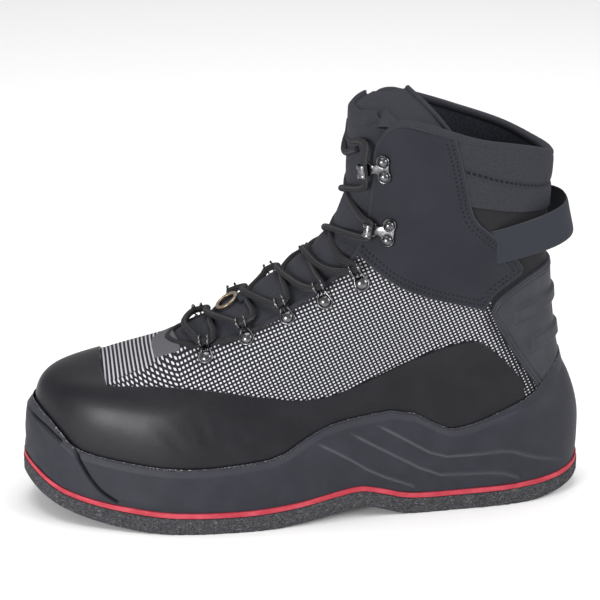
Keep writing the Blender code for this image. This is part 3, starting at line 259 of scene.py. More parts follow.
def piece(name, points, faces, finish, slot, replaces=(), crease=None, **values):
    """A piece of the boot from points in millimetres, with the numbers that its finish reads."""
    data = bpy.data.meshes.new(name)
    points = np.asarray(points, float).reshape(-1, 3)
    data.from_pydata((points * MM).tolist(), [], [tuple(int(k) for k in face) for face in faces])
    for key, numbers in values.items():
        held = data.attributes.new(key, "FLOAT", "POINT")
        held.data.foreach_set("value", np.asarray(numbers, np.float32).ravel())
    work = bmesh.new()
    work.from_mesh(data)
    bmesh.ops.remove_doubles(work, verts=work.verts, dist=1e-6)
    bmesh.ops.recalc_face_normals(work, faces=work.faces)
    work.to_mesh(data)
    work.free()
    data.shade_smooth()
    if crease:
        data.set_sharp_from_angle(angle=np.radians(crease))
    data.materials.append(finish.material)
    made = bpy.data.objects.new(name, data)
    bpy.context.scene.collection.objects.link(made)
    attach(made, "root")
    if replaces:
        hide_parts(*replaces)
    return made


def grid_piece(
    name, grid, finish, slot, replaces=(), crease=None, wrap_rows=False, wrap_columns=False, **values
):
    """A piece from a grid of points."""
    faces = grid_faces(*grid.shape[:2], wrap_rows, wrap_columns)
    return piece(name, grid, faces, finish, slot, replaces, crease, **values)


def hash_noise(points, size, seed):
    """Smooth pseudo-random numbers from -1 to 1 over points, from a few sine waves in fixed directions."""
    rng = np.random.default_rng(seed)
    total = np.zeros(points.shape[:-1])
    for _ in range(9):
        direction = rng.normal(size=3)
        direction *= 2 * np.pi / (size * rng.uniform(0.6, 1.6) * np.linalg.norm(direction))
        total += np.sin(points @ direction + rng.uniform(0, 2 * np.pi))
    return total / 4.0


def sole_layer(low_column, low_shift, high_column, high_shift, grow, soft, rough=0.0):
    """Points and faces of a layer of the sole between two heights of its side view, with rounded edges."""
    angle = np.linspace(0.0, np.pi, 361)[:, None]
    turn, share = angle / (2 * np.pi), (1 - np.cos(angle)) / 2
    x = (LENGTH / 2 + grow) * np.cos(angle)
    middle = TOE_INWARD * share**3
    outer = middle + foot_share(turn) * BALL_HALF - grow * np.sin(angle)
    inner = middle + foot_share(1.0 - turn) * BALL_HALF + grow * np.sin(angle)
    low = side_view(SOLE, x, low_column) + low_shift
    high = side_view(SOLE, x, high_column) + high_shift
    pull = np.minimum(soft, (inner - outer) * 0.25)
    bend = np.radians(np.linspace(0, 90, 4))[None, :]
    across = np.linspace(0.0, 1.0, 21)[None, 1:-1]
    up = np.linspace(0.0, 1.0, 6)[None, 1:-1]
    ys, zs = [], []
    for near, far, start, end, way in ((outer, inner, low, high, 1), (inner, outer, high, low, -1)):
        in_by, up_by = way * pull, way * soft
        ys += [near + in_by + (far - near - 2 * in_by) * across, far - in_by * (1 - np.sin(bend))]
        zs += [start + 0 * across, start + up_by * (1 - np.cos(bend))]
        ys += [far + 0 * up, far - in_by * (1 - np.cos(bend))]
        zs += [start + up_by + (end - start - 2 * up_by) * up, end - up_by * (1 - np.sin(bend))]
    y, z = np.concatenate(ys, axis=1), np.concatenate(zs, axis=1)
    points = np.stack([x + 0 * y, y, z], -1)
    if rough:
        side = np.clip((np.abs(y - middle) - (inner - outer) * 0.5 + 1.2) / 1.2, 0.0, 1.0)
        points[..., 1] += np.sign(y - middle) * side * rough * hash_noise(points, 3.0, 5)
        points[..., 2] += np.where(z < high - soft, rough * 0.5 * hash_noise(points, 4.0, 6), 0.0) * side
    return points, grid_faces(*points.shape[:2], wrap_columns=True)


felt = Finish("felt", (0.045, 0.046, 0.049), 0.97, Specular_IOR_Level=0.15)
fibre = felt.noise(0.9, 4.0, (1.0, 1.0, 0.7))
tuft = felt.noise(3.4, 3.0)
fleck = felt.step(felt.noise(1.3, 2.0, (1.8, 1.8, 0.8)), 0.60, 0.74)
base = felt.blend(felt.step(fibre, 0.34, 0.66), (0.022, 0.022, 0.025), (0.085, 0.086, 0.092))
base = felt.blend(felt.step(tuft, 0.35, 0.7) * 0.5, base, (0.030, 0.030, 0.034))
felt.feed("Base Color", felt.blend(fleck * 0.55, base, (0.19, 0.19, 0.20)))
felt.relief((fibre, 0.7), (tuft, 0.5))
felt_points, felt_faces = sole_layer(2, 0.0, 1, -STRIPE - FIT, FELT_GROW, 0.9, rough=0.28)
felt_points[..., 2] = np.maximum(felt_points[..., 2], 0.0)
piece("felt_outsole_cut", felt_points, felt_faces, felt, "felt", ["felt_outsole"])

# Stripe: a 3 mm layer of red sponge rubber between felt and midsole, cut flush with them.
# It shows as a thin matt band that is slightly mottled and rubbed.
red = Finish("red_rubber", (0.48, 0.045, 0.07), 0.62, Specular_IOR_Level=0.3)
rub = red.noise(9.0, 3.0, (1.0, 1.0, 0.4))
red.feed("Base Color", red.mottled(rub, (0.36, 0.028, 0.044), (0.46, 0.055, 0.078), 0.35))
red.feed("Roughness", 0.55 + red.noise(2.0) * 0.2)
red.relief((red.noise(0.7), 0.12))
stripe_points, stripe_faces = sole_layer(1, -STRIPE, 1, 0.0, 0.2, 0.5)
piece("sole_stripe_band", stripe_points, stripe_faces, red, "red_rubber", ["sole_stripe"])

# Midsole: a moulded charcoal rubber cup, cemented round the upper. Its lip is chamfered, three fine ridges
# run back from the arch and turn into steps at the heel, and a bumper stands proud at the toe.
CUP_WALL, OVERLAY, CUP_TAPER = 4.2, 1.2, 0.62
CUP_ROOM = 2 * FIT + OVERLAY + 1.0
CUP_BOTTOM_IN = 0.8
COLLAR_V, THROAT_V = 8.0, 4.0
LAST = (
    # heel x, heel height, front x, front height, outer half width, inner half width, share of oval, sag
    (0.4771, 0.1083, -0.4695, 0.1458, 0.8729, 0.8729, 0, 0.0625),
    (0.4817, 0.1917, -0.4756, 0.2375, 0.9237, 0.9153, 0, 0.0458),
    (0.4680, 0.2792, -0.4558, 0.3208, 0.8559, 0.8390, 0.05, 0.0292),
    (0.4512, 0.3708, -0.3720, 0.3625, 0.7627, 0.7119, 0.15, 0.0125),
    (0.4405, 0.4667, -0.2378, 0.4125, 0.6780, 0.6271, 0.45, 0.0000),
    (0.4345, 0.5625, -0.1159, 0.5062, 0.6441, 0.6271, 0.75, 0.0000),
    (0.4314, 0.6583, 0.0000, 0.6125, 0.6271, 0.6271, 1, 0.0000),
    (0.4314, 0.7542, 0.0640, 0.7333, 0.6271, 0.6271, 1, 0.0000),
    (0.4345, 0.8500, 0.0777, 0.9708, 0.6525, 0.6525, 1, -0.0333),
    (0.4375, 0.9333, 0.0823, 1.0500, 0.6525, 0.6525, 1, -0.0333),
)
OVAL_POWER = 0.78
SAG_SHARE = ((0.0, 0.0), (0.15, 0.3), (0.4, 0.6), (0.66, 1.0), (0.86, 0.85), (1.0, 0.0))
LIP = (
    # x and height of the cup's lip
    (-0.5000, 0.2917), (-0.4726, 0.2708), (-0.4512, 0.2500), (-0.4299, 0.2229), (-0.4085, 0.1917),
    (-0.3780, 0.1812), (-0.3293, 0.1729), (-0.2744, 0.1658), (-0.2073, 0.1625), (-0.1311, 0.1700),
    (-0.0610, 0.1812), (-0.0152, 0.2208), (0.0274, 0.2479), (0.0671, 0.2583), (0.1640, 0.2710),
    (0.2400, 0.2125), (0.2600, 0.2110), (0.2953, 0.2205), (0.3471, 0.2470), (0.3953, 0.2710),
    (0.4215, 0.3080), (0.4608, 0.3610), (0.5000, 0.3667),
)
SIDE_RIDGES = (
    # x and height of each bend, from the front
    ((0.0046, 0.2129), (0.0499, 0.1775), (0.1140, 0.1112), (0.1820, 0.0729)),
    (
        (0.0674, 0.2270), (0.1143, 0.1858), (0.2174, 0.0990), (0.2656, 0.0960), (0.3372, 0.0917),
        (0.3726, 0.0708),
    ),
    (
        (0.1152, 0.2395), (0.1548, 0.2074), (0.2271, 0.1451), (0.2831, 0.1449), (0.3509, 0.1500),
        (0.3948, 0.1224), (0.4588, 0.0950),
    ),
)
BUMPER_EDGE = ((-0.4192, 0.2083), (-0.4018, 0.1537), (-0.3750, 0.0987), (-0.3436, 0.0729))
BUMPER_FOLD = ((-0.4817, 0.2417), (-0.4567, 0.2262), (-0.4369, 0.2058))


def unit(vectors):
    return vectors / np.linalg.norm(vectors, axis=-1, keepdims=True)


def flattened(shares, power):
    """Sines or cosines with their sign kept and their size to a power, which makes a circle squarer."""
    return np.sign(shares) * np.abs(shares) ** power


def last_row(v):
    """The sizes of the last's loop at height v."""
    rows = np.asarray(LAST, float)
    rows = np.concatenate([2 * rows[:1] - rows[1:2], rows, 2 * rows[-1:] - rows[-2:-1]])
    v = np.clip(np.asarray(v, float), 0.0, len(LAST) - 1.0)
    i = np.minimum(np.floor(v).astype(int), len(LAST) - 2)
    out = through([rows[i + k] for k in (0, 1, 2, 3)], (v - i)[..., None])
    return np.moveaxis(out * (LENGTH, HEIGHT, LENGTH, HEIGHT, BALL_HALF, BALL_HALF, 1.0, HEIGHT), -1, 0)


def last_point(turn, v):
    """The last's surface at a turn round it (0 heel, 0.25 outer side, 0.5 toe) and a height v.

    v is 0 at the feather edge, where the upper meets the sole, and 8 at the collar.
    """
    turn, v = np.broadcast_arrays(np.asarray(turn, float) % 1.0, np.asarray(v, float))
    heel_x, heel_z, front_x, front_z, outer, inner, oval, sag = last_row(v)
    share = (1 - np.cos(2 * np.pi * turn)) / 2
    side = np.sin(2 * np.pi * turn)
    round_share = -flattened(side, OVAL_POWER)
    half = np.where(turn < 0.5, outer, inner)
    x = heel_x + (front_x - heel_x) * share
    y = half * ((1 - oval) * foot_share(turn) + oval * round_share) + TOE_INWARD * share**3 * (1 - 0.6 * oval)
    z = heel_z + (front_z - heel_z) * share - sag * curve(SAG_SHARE, share)
    return np.stack([x, y, z], -1)


def last_normal(turn, v):
    step = 0.004
    low, high = np.maximum(v - 0.1, 0.0), np.minimum(v + 0.1, len(LAST) - 1.0)
    ahead = last_point(turn + step, v) - last_point(turn - step, v)
    return unit(np.cross(last_point(turn, high) - last_point(turn, low), ahead))


def shell(turn, v, out=0.0):
    """A point this far out of the last's surface."""
    turn, v = np.broadcast_arrays(np.asarray(turn, float), np.asarray(v, float))
    return last_point(turn, v) + last_normal(turn, v) * np.asarray(out, float)[..., None]


def height_to_v(turn, x_rows, broken=False):
    """The v at which each turn's column of the last reaches the height given by x in x_rows."""
    steps = np.linspace(0.0, COLLAR_V, 641)
    points = last_point(np.asarray(turn)[:, None], steps[None, :])
    if broken:
        bends = smoothed(x_rows, 1)
        wanted = HEIGHT * np.interp(points[..., 0] / LENGTH, bends[:, 0], bends[:, 1])
    else:
        wanted = side_view(x_rows, points[..., 0])
    above = points[..., 2] - wanted
    i = np.maximum(np.argmax(above > 0, axis=1), 1)
    k = np.arange(len(i))
    f = above[k, i - 1] / (above[k, i - 1] - above[k, i])
    return steps[i - 1] + (steps[i] - steps[i - 1]) * np.clip(f, 0.0, 1.0)


def smoothed(bends, rounds=2):
    """A broken line with its corners cut off, more finely each round."""
    bends = np.asarray(bends, float)
    for _ in range(rounds):
        a, b = bends[:-1], bends[1:]
        cut = np.stack([a * 0.75 + b * 0.25, a * 0.25 + b * 0.75], 1).reshape(-1, bends.shape[1])
        bends = np.concatenate([bends[:1], cut, bends[-1:]])
    return bends


def near_line(points, bends):
    """Distance of points to a broken line, the side they lie on (1 or -1) and how far along it they are."""
    points, bends = np.asarray(points, float), np.asarray(bends, float)
    best = np.full(points.shape[:-1], np.inf)
    side, run, start = np.ones_like(best), np.zeros_like(best), 0.0
    for first, second in zip(bends[:-1], bends[1:]):
        ahead = second - first
        length = np.linalg.norm(ahead)
        at = (points - first) @ ahead / length**2
        off = np.linalg.norm(points - first - np.clip(at, 0.0, 1.0)[..., None] * ahead, axis=-1)
        cross = ahead[0] * (points - first)[..., 1] - ahead[1] * (points - first)[..., 0]
        closer = off < best
        best = np.where(closer, off, best)
        side = np.where(closer, np.where(cross >= 0, 1.0, -1.0), side)
        run = np.where(closer, start + np.clip(at, 0.0, 1.0) * length, run)
        start += length
    return best, side, run


def grid_normals(points, wrap_rows):
    """Unit vectors out of a grid whose rows run round the boot from the heel over the outer side."""
    if wrap_rows:
        ahead = np.roll(points, -1, axis=0) - np.roll(points, 1, axis=0)
    else:
        ahead = np.gradient(points, axis=0)
    out = np.cross(np.gradient(points, axis=1), ahead)
    return out / np.maximum(np.linalg.norm(out, axis=-1, keepdims=True), 1e-9)


CHAMFER, CHAMFER_IN, REAR_CHAMFER, REAR_CHAMFER_IN = 4.4, 1.9, 10.0, 1.2
RIDGE_HIGH, RIDGE_WIDE, RIDGE_STEP_RUN, RIDGE_STEP_RAMP = 0.6, 0.7, 55.0, 15.0
LEDGE_HIGH, LEDGE_FADE, LEDGE_FACE = 1.5, 6.0, 1.0
GROOVE_DEEP, FOLD_DEEP, GROOVE_WIDE = 1.9, 1.6, 0.75
BUMPER_OUT, BUMPER_FADE, FOLD_OUT, FOLD_FADE = 1.0, 16.0, 0.9, 6.0
CUP_COLUMNS = 1200

cup_turn = np.arange(CUP_COLUMNS) / CUP_COLUMNS
cup_share = (1 - np.cos(2 * np.pi * cup_turn)) / 2
cup_middle = TOE_INWARD * cup_share**3
edge_x = (LENGTH / 2 - CUP_BOTTOM_IN) * np.cos(2 * np.pi * cup_turn)
edge_y = cup_middle + foot_share(cup_turn) * (BALL_HALF - CUP_BOTTOM_IN)
cup_base = side_view(SOLE, edge_x) + FIT
lip_v = height_to_v(cup_turn, LIP, broken=True)
lip_z = last_point(cup_turn, lip_v)[:, 2]
wall_f = np.concatenate([np.linspace(0.0, 0.72, 34), np.linspace(0.72, 1.0, 24)[1:]])[None, :]
wall = shell(cup_turn[:, None], lip_v[:, None] * wall_f, CUP_ROOM + CUP_WALL * (1 - CUP_TAPER * wall_f))
blend = np.minimum(1.0, wall_f * 1.3)[..., None] ** 1.2
ramp = np.minimum(wall_f / 0.14, 1.0)
flat = np.stack([edge_x[:, None] * (1 + 0.004 * ramp), edge_y[:, None] * (1 + 0.01 * ramp), wall[..., 2]], -1)
wall = flat * (1 - blend) + wall * blend
wall[..., 2] = cup_base[:, None] + (lip_z - cup_base)[:, None] * wall_f
out = grid_normals(wall, True)
side_at = wall[..., [0, 2]]
rear = np.clip((wall[..., 0] - 95.0) / 45.0, 0.0, 1.0)
chamfer = CHAMFER + REAR_CHAMFER * rear**1.3
below_lip = lip_z[:, None] - wall[..., 2]
push = -(CHAMFER_IN + REAR_CHAMFER_IN * rear) * np.clip(1.0 - below_lip / chamfer, 0.0, 1.0) ** 1.15
heel_end = np.clip((158.0 - wall[..., 0]) / 20.0, 0.0, 1.0)
crest = np.zeros(wall.shape[:2])
for bends in SIDE_RIDGES:
    line = smoothed(np.multiply(bends, (LENGTH, HEIGHT)), 1)
    off, side, run = near_line(side_at, line)
    step = np.clip((run - RIDGE_STEP_RUN) / RIDGE_STEP_RAMP, 0.0, 1.0)
    fade = np.clip(run / 6.0, 0.15, 1.0) * heel_end
    ridge = RIDGE_HIGH * np.exp(-((off / RIDGE_WIDE) ** 2))
    ledge = LEDGE_HIGH * np.where(side < 0, np.exp(-off / LEDGE_FADE), np.exp(-((off / LEDGE_FACE) ** 2)))
    push += fade * (ridge * (1 - step) + ledge * step)
    crest = np.maximum(crest, fade * np.exp(-((off / 0.62) ** 2)) * (1 - 0.45 * step))
off, side, run = near_line(side_at, smoothed(np.multiply(BUMPER_EDGE, (LENGTH, HEIGHT)), 2))
inside = np.clip(1.0 - np.maximum(below_lip - 40.0, 0.0), 0.0, 1.0)
groove = np.exp(-((off / GROOVE_WIDE) ** 2)) * np.clip(below_lip / 2.0, 0.0, 1.0)
push += -GROOVE_DEEP * groove + np.where(side < 0, BUMPER_OUT * np.exp(-off / BUMPER_FADE), 0.0) * inside
off, side, run = near_line(side_at, smoothed(np.multiply(BUMPER_FOLD, (LENGTH, HEIGHT)), 2))
fold = np.exp(-((off / GROOVE_WIDE) ** 2))
groove = np.maximum(groove, fold)
push += -FOLD_DEEP * fold + np.where(side < 0, FOLD_OUT * np.exp(-off / FOLD_FADE), 0.0)
toe_end = np.clip((-120.0 - wall[..., 0]) / 30.0, 0.0, 1.0)
push += 0.05 * hash_noise(wall, 22.0, 11) + 0.35 * toe_end * hash_noise(wall, 15.0, 12)
wall = wall + out * push[..., None]
lip_out = wall[:, -1]
lip_in = shell(cup_turn, lip_v, CUP_ROOM)
over = [
    lip_out * (1 - f) + lip_in * f + np.array([0.0, 0.0, 0.45 * np.sin(np.pi * f)]) for f in (0.3, 0.6, 1.0)
]
over += [shell(cup_turn, lip_v * f, CUP_ROOM) for f in (0.92, 0.8, 0.5, 0.2)]
corner = shell(cup_turn, 0.0, 0.0) + last_normal(cup_turn, 0.0) * (FIT, FIT, 0.0) - (0.0, 0.0, FIT)
centre = np.stack([corner[:, 0], cup_middle, corner[:, 2]], -1)
bottom = [np.stack([edge_x, cup_middle, cup_base], -1), np.stack([edge_x, edge_y, cup_base], -1)]
cup = np.stack([*bottom, *np.moveaxis(wall, 1, 0)[1:], *over, corner, centre], axis=1)

rubber = Finish("cup_rubber", (0.024, 0.025, 0.031), 0.58, Specular_IOR_Level=0.22)
dust = rubber.noise(14.0, 4.0)
speck = rubber.step(rubber.noise(1.0, 2.0), 0.52, 0.68)
near_lip = rubber.step(rubber.value("below"), 1.0, 0.3)
base = rubber.mottled(dust, (0.0190, 0.0195, 0.0270), (0.0235, 0.0240, 0.0325), 0.35)
# Painted highlight: the crests of the three side ridges are painted lighter, where their upward-facing ledges
# would catch the light.
base = rubber.blend(rubber.value("crest") * 0.75, base, (0.080, 0.083, 0.092))
# Painted highlight: the top few millimetres below the lip, on the upward-facing chamfer, are painted lighter,
# where that facet would catch the light.
base = rubber.blend(rubber.step(rubber.value("below"), 4.6, 3.4) * 0.35, base, (0.042, 0.044, 0.052))
# Painted shade: the toe bumper's groove and fold lines are painted nearly black, as shade in these recesses.
base = rubber.blend(rubber.value("groove") * 0.8, base, (0.004, 0.004, 0.005))
base = rubber.blend(near_lip * speck * 0.8, base, (0.30, 0.29, 0.28))
rubber.feed(
    "Base Color",
    rubber.blend(rubber.step(rubber.noise(1.1, 2.0), 0.76, 0.84) * 0.22, base, (0.16, 0.16, 0.17)),
)
rubber.feed("Roughness", 0.52 + rubber.noise(3.0) * 0.16)
rubber.relief((rubber.noise(0.5, 2.0), 0.05), (near_lip * rubber.noise(1.6, 3.0), 0.8))
below = np.full(cup.shape[:2], 50.0)
below[:, 2 : 1 + wall.shape[1]] = below_lip[:, 1:]
below[:, 1 + wall.shape[1] : 4 + wall.shape[1]] = 0.0


def over_wall(numbers):
    """Numbers of the wall's points, with zeros for the rest of the cup."""
    whole = np.zeros(cup.shape[:2])
    whole[:, 2 : 1 + wall.shape[1]] = numbers[:, 1:]
    return whole


grid_piece(
    "midsole_cup", cup, rubber, "cup_rubber", ["midsole"], crease=62, wrap_rows=True,
    below=below, crest=over_wall(crest), groove=over_wall(groove),
)

# Upper: one wall of woven cloth with a lining, stitched to the overlays and lasted into the cup. White floats
# lie on black ground: solid stripes across the vamp, which break into dots down the sides.
WALL, PAD = 2.6, 4.0
THROAT = (
    (4.0, 0.0), (4.06, 0.05), (4.25, 0.09), (4.6, 0.112), (5.2, 0.122), (6.0, 0.124), (7.0, 0.108),
    (8.0, 0.106),
)
CORNER_BASE, CORNER_START, CORNER_DROP, THROAT_SPACING = 0.209, 0.33, 0.35, 1.8
PAD_FRONT, PAD_RAMP = 0.34, 0.05
PAD_LOW_V, PAD_LOW_RAMP, PAD_TOP_V, PAD_TOP_RAMP = 5.6, 0.8, 8.3, 0.5
COLLAR_STEPS, THROAT_STEPS, UPPER_ROWS, LINING_ROWS = 70, 160, 100, 40
WEAVE_PITCH, FLOAT_PITCH, WEAVE_SLANT = 2.33, 1.90, np.radians(23.7)
STRIPES_END, DOTS_START = -118.0, -75.0
COUNTER_EDGE = ((0.4116, 0.2825), (0.3870, 0.3330), (0.3582, 0.3960), (0.3277, 0.4667), (0.3207, 0.4958))
STRIPE_BREAKS = ((-90.0, -45.0, -30.0), (30.0, 24.0, 12.0))
DARK_REAR = ((0.50, 0.53, 0.62, 0.80, 0.95), (0.315, 0.32, 0.30, 0.24, 0.20))
DARK_FROM_V = 6.4
COLLAR_RISE = (
    # turn, negative on the inner side, and how far the collar's edge stands over COLLAR_V
    (-0.394, 0.05), (-0.28, 0.03), (-0.232, 0.06), (-0.138, 0.09), (-0.082, 0.08), (0.0, 0.14), (0.097, 0.22),
    (0.153, 0.16), (0.219, 0.05), (0.292, 0.0), (0.394, 0.0),
)


def throat_half(v):
    return curve(THROAT, v)


def collar_v(turn):
    """Height of the collar's edge: highest round the back and rounded down at the front corner."""
    signed = ((np.asarray(turn) + 0.5) % 1.0) - 0.5
    corner = np.clip((np.abs(signed) - CORNER_START) / (0.5 - THROAT[-1][1] - CORNER_START), 0.0, 1.0)
    return COLLAR_V + curve(COLLAR_RISE, signed) - CORNER_DROP * corner**2


def top_edge(side):
    """(turn, v) along the top edge from the collar's back to the throat's base: side 1 outer, -1 inner."""
    collar = np.linspace(0.0, 0.5 - THROAT[-1][1], COLLAR_STEPS + 1)
    left = np.linspace(0.0, 1.0, THROAT_STEPS + 1)[1:]
    edge = collar_v(side * collar)
    v = THROAT_V + (edge[-1] - THROAT_V) * (1 - left) ** THROAT_SPACING
    path = np.concatenate([np.stack([collar, edge], -1), np.stack([0.5 - throat_half(v), v], -1)])
    for _ in range(12):
        near = slice(COLLAR_STEPS - 12, COLLAR_STEPS + 12)
        middle = (path[:-2] + path[2:]) / 2
        path[1:-1][near] = path[1:-1][near] * 0.5 + middle[near] * 0.5
    return path


def across_heel(at):
    flipped = np.array(at, float)
    flipped[..., 0] = -flipped[..., 0]
    return flipped


def wall_at(turn, v):
    """Thickness of the upper, padded round the back of the collar."""
    away = np.abs(((turn + 0.5) % 1.0) - 0.5)
    rear = np.clip((PAD_FRONT - away) / PAD_RAMP, 0.0, 1.0)
    high = np.clip((v - PAD_LOW_V) / PAD_LOW_RAMP, 0.0, 1.0) * np.clip(
        (PAD_TOP_V - v) / PAD_TOP_RAMP, 0.3, 1.0
    )
    return WALL + PAD * rear * high


def weave_count(points):
    """Millimetres across the columns of the weave: along the foot at the toe, slanting up behind it."""
    x, z = points[..., 0], points[..., 2]
    ridge = 87.0 + (x + 122.0) * 0.27
    level = np.clip((DOTS_START - x) / (DOTS_START - STRIPES_END), 0.0, 1.0)
    return x * np.cos(WEAVE_SLANT) + (z - (z - ridge) * level) * np.sin(WEAVE_SLANT)


def float_count(points):
    """Millimetres down along the columns, for the rows of dots."""
    level = np.clip((DOTS_START - points[..., 0]) / (DOTS_START - STRIPES_END), 0.0, 1.0)
    return points[..., 0] * np.sin(WEAVE_SLANT) * (1 - 0.7 * level) - points[..., 2] * np.cos(WEAVE_SLANT)


def weave_down(turn, v):
    """Millimetres down each column of the weave from the ridge of the foot."""
    found = np.zeros_like(turn)
    counted = weave_count(last_point(turn, v))
    level_step = 2.0
    levels = np.arange(-170.0, 250.0, level_step)
    heights = np.linspace(1.0, 8.6, 300)
    for side, turns in (
        (turn <= 0.5, np.linspace(0.5, 0.02, 160)), (turn > 0.5, np.linspace(0.5, 0.98, 160))
    ):
        counts = weave_count(last_point(turns[:, None], heights[None, :]))
        rows = np.array([np.interp(levels, np.maximum.accumulate(row), heights) for row in counts])
        places = last_point(turns[:, None], rows)
        steps = np.linalg.norm(np.diff(places, axis=0), axis=-1)
        down = np.concatenate([np.zeros((1, len(levels))), np.cumsum(steps, axis=0)])
        at_turn = np.abs(turn - 0.5) / 0.48 * (len(turns) - 1)
        at_level = (counted - levels[0]) / level_step
        i = np.clip(np.floor(at_turn).astype(int), 0, len(turns) - 2)
        j = np.clip(np.floor(at_level).astype(int), 0, len(levels) - 2)
        f, g = np.clip(at_turn - i, 0, 1), np.clip(at_level - j, 0, 1)
        low = down[i, j] * (1 - g) + down[i, j + 1] * g
        high = down[i + 1, j] * (1 - g) + down[i + 1, j + 1] * g
        found = np.where(side, low * (1 - f) + high * f, found)
    return found


edge_at, inner_edge = top_edge(1), top_edge(-1)
foot_turns = np.concatenate([
    np.linspace(0.0, CORNER_BASE, COLLAR_STEPS + 1), np.linspace(CORNER_BASE, 0.5, THROAT_STEPS + 1)[1:]
])
rows = np.linspace(0.0, 1.0, UPPER_ROWS)
outer_half, inner_half = (
    np.stack([foot_turns[:, None] + (edge[:, :1] - foot_turns[:, None]) * rows, edge[:, 1:] * rows], -1)
    for edge in (edge_at, inner_edge)
)
upper_turn = np.concatenate([outer_half[..., 0], 1.0 - inner_half[-2:0:-1, :, 0]])
upper_v = np.concatenate([outer_half[..., 1], inner_half[-2:0:-1, :, 1]])
rim = shell(
    upper_turn[:, -1:], upper_v[:, -1:],
    -wall_at(upper_turn[:, -1:], upper_v[:, -1:]) * np.array([[0.3, 0.7, 1.0]]),
)
upper_points = shell(upper_turn, upper_v)

edge_line = shell(edge_at[COLLAR_STEPS:, 0], edge_at[COLLAR_STEPS:, 1])
outer_line = np.concatenate(
    [edge_line, shell(1.0 - edge_at[:COLLAR_STEPS:-1, 0], edge_at[:COLLAR_STEPS:-1, 1])]
)
from_throat = np.min([np.linalg.norm(upper_points - p, axis=-1) for p in outer_line[::2]], axis=0)
from_counter = near_line(upper_points[..., [0, 2]], np.multiply(COUNTER_EDGE, (LENGTH, HEIGHT)))[0]
count = weave_count(upper_points)
down = weave_down(upper_turn, upper_v)
breaking = np.interp(count, *STRIPE_BREAKS)
dotted = np.clip((down - breaking) / 7.0, 0.0, 1.0)
strength = np.clip((from_throat - 1.6) / 5.0, 0.0, 1.0) * np.clip((from_counter - 1.0) / 6.0, 0.35, 1.0)
share_x, share_z = upper_points[..., 0] / LENGTH, upper_points[..., 2] / HEIGHT
behind = (share_x > np.interp(share_z, *DARK_REAR)) & (share_z > DARK_REAR[0][0])
strength *= ~behind & (upper_v < DARK_FROM_V)
floats = float_count(upper_points)

weave = Finish("woven_cloth", (0.020, 0.020, 0.024), 0.75, Specular_IOR_Level=0.25)
ground = weave.noise(0.5, 2.0)
column = (weave.value("count") / WEAVE_PITCH).part()
along = weave.value("floats") / FLOAT_PITCH
dots = weave.value("dotted")
live = weave.value("strength")
wide = 0.43 + dots * 0.14 - (1.0 - live) * 0.25
shape = (column / wide) ** 3.0 + dots * (along.part() / (0.54 - (1.0 - live) * 0.2)) ** 3.0
float_mask = weave.step(shape, 1.25, 0.70) * weave.step(live, 0.02, 0.45)
thread = weave.blend(dots, (0.38, 0.38, 0.41), (0.55, 0.55, 0.59))
dark = weave.mottled(ground, (0.006, 0.006, 0.008), (0.014, 0.014, 0.017))
weave.feed("Base Color", weave.blend(float_mask, dark, thread))
weave.relief((float_mask, 0.35), (ground, 0.10))
cloth_points = np.concatenate([upper_points, rim], axis=1)


def with_rim(numbers):
    return np.concatenate([numbers, np.repeat(numbers[:, -1:], 3, axis=1)], axis=1)


grid_piece(
    "upper_cloth", cloth_points, weave, "mesh_cloth", ["upper"], wrap_rows=True,
    count=with_rim(count), floats=with_rim(floats), dotted=with_rim(dotted), strength=with_rim(strength),
)

lining = Finish("lining_cloth", (0.016, 0.017, 0.021), 0.9, Specular_IOR_Level=0.2)
knit = lining.noise(1.2, 2.0)
lining.feed("Base Color", lining.mottled(knit, (0.0130, 0.0150, 0.0210), (0.0240, 0.0270, 0.0360)))
lining.relief((knit, 0.15), (lining.noise(9.0), 0.5))
inner_rows = np.linspace(UPPER_ROWS - 1, 0, LINING_ROWS).astype(int)
lining_turn, lining_v = upper_turn[:, inner_rows], upper_v[:, inner_rows]
sag = 0.35 * hash_noise(last_point(lining_turn, lining_v), 26.0, 21) * np.linspace(0.0, 1.0, LINING_ROWS)
lining_points = shell(lining_turn, lining_v, -wall_at(lining_turn, lining_v) + np.minimum(sag, 0.2))
grid_piece("upper_lining", lining_points, lining, "padding_cloth", ["upper"], wrap_rows=True)

# Collar pad: foam under soft cloth round the back of the ankle, in two pillows with a quilted seam between.
# It is stitched under the ankle panels, and its lower edge is turned in above the strap.
PAD_SIDE = ((5.5, 0.13), (6.55, 0.192), (6.93, 0.227), (7.12, 0.235), (7.63, 0.254), (8.3, 0.268))
SEAM = ((0.0, 7.38), (0.081, 7.40), (0.160, 7.48), (0.189, 7.52), (0.221, 7.57), (0.28, 7.60))
PAD_EDGE = (
    (0.0, 6.74), (0.067, 6.78), (0.124, 6.87), (0.164, 6.97), (0.199, 7.07), (0.225, 7.13), (0.28, 7.25)
)
PILLOW, PAD_END_TURN, MM_PER_TURN, MM_PER_V, QUILT_STITCH = 1.5, 0.24, 260.0, 19.0, 2.4

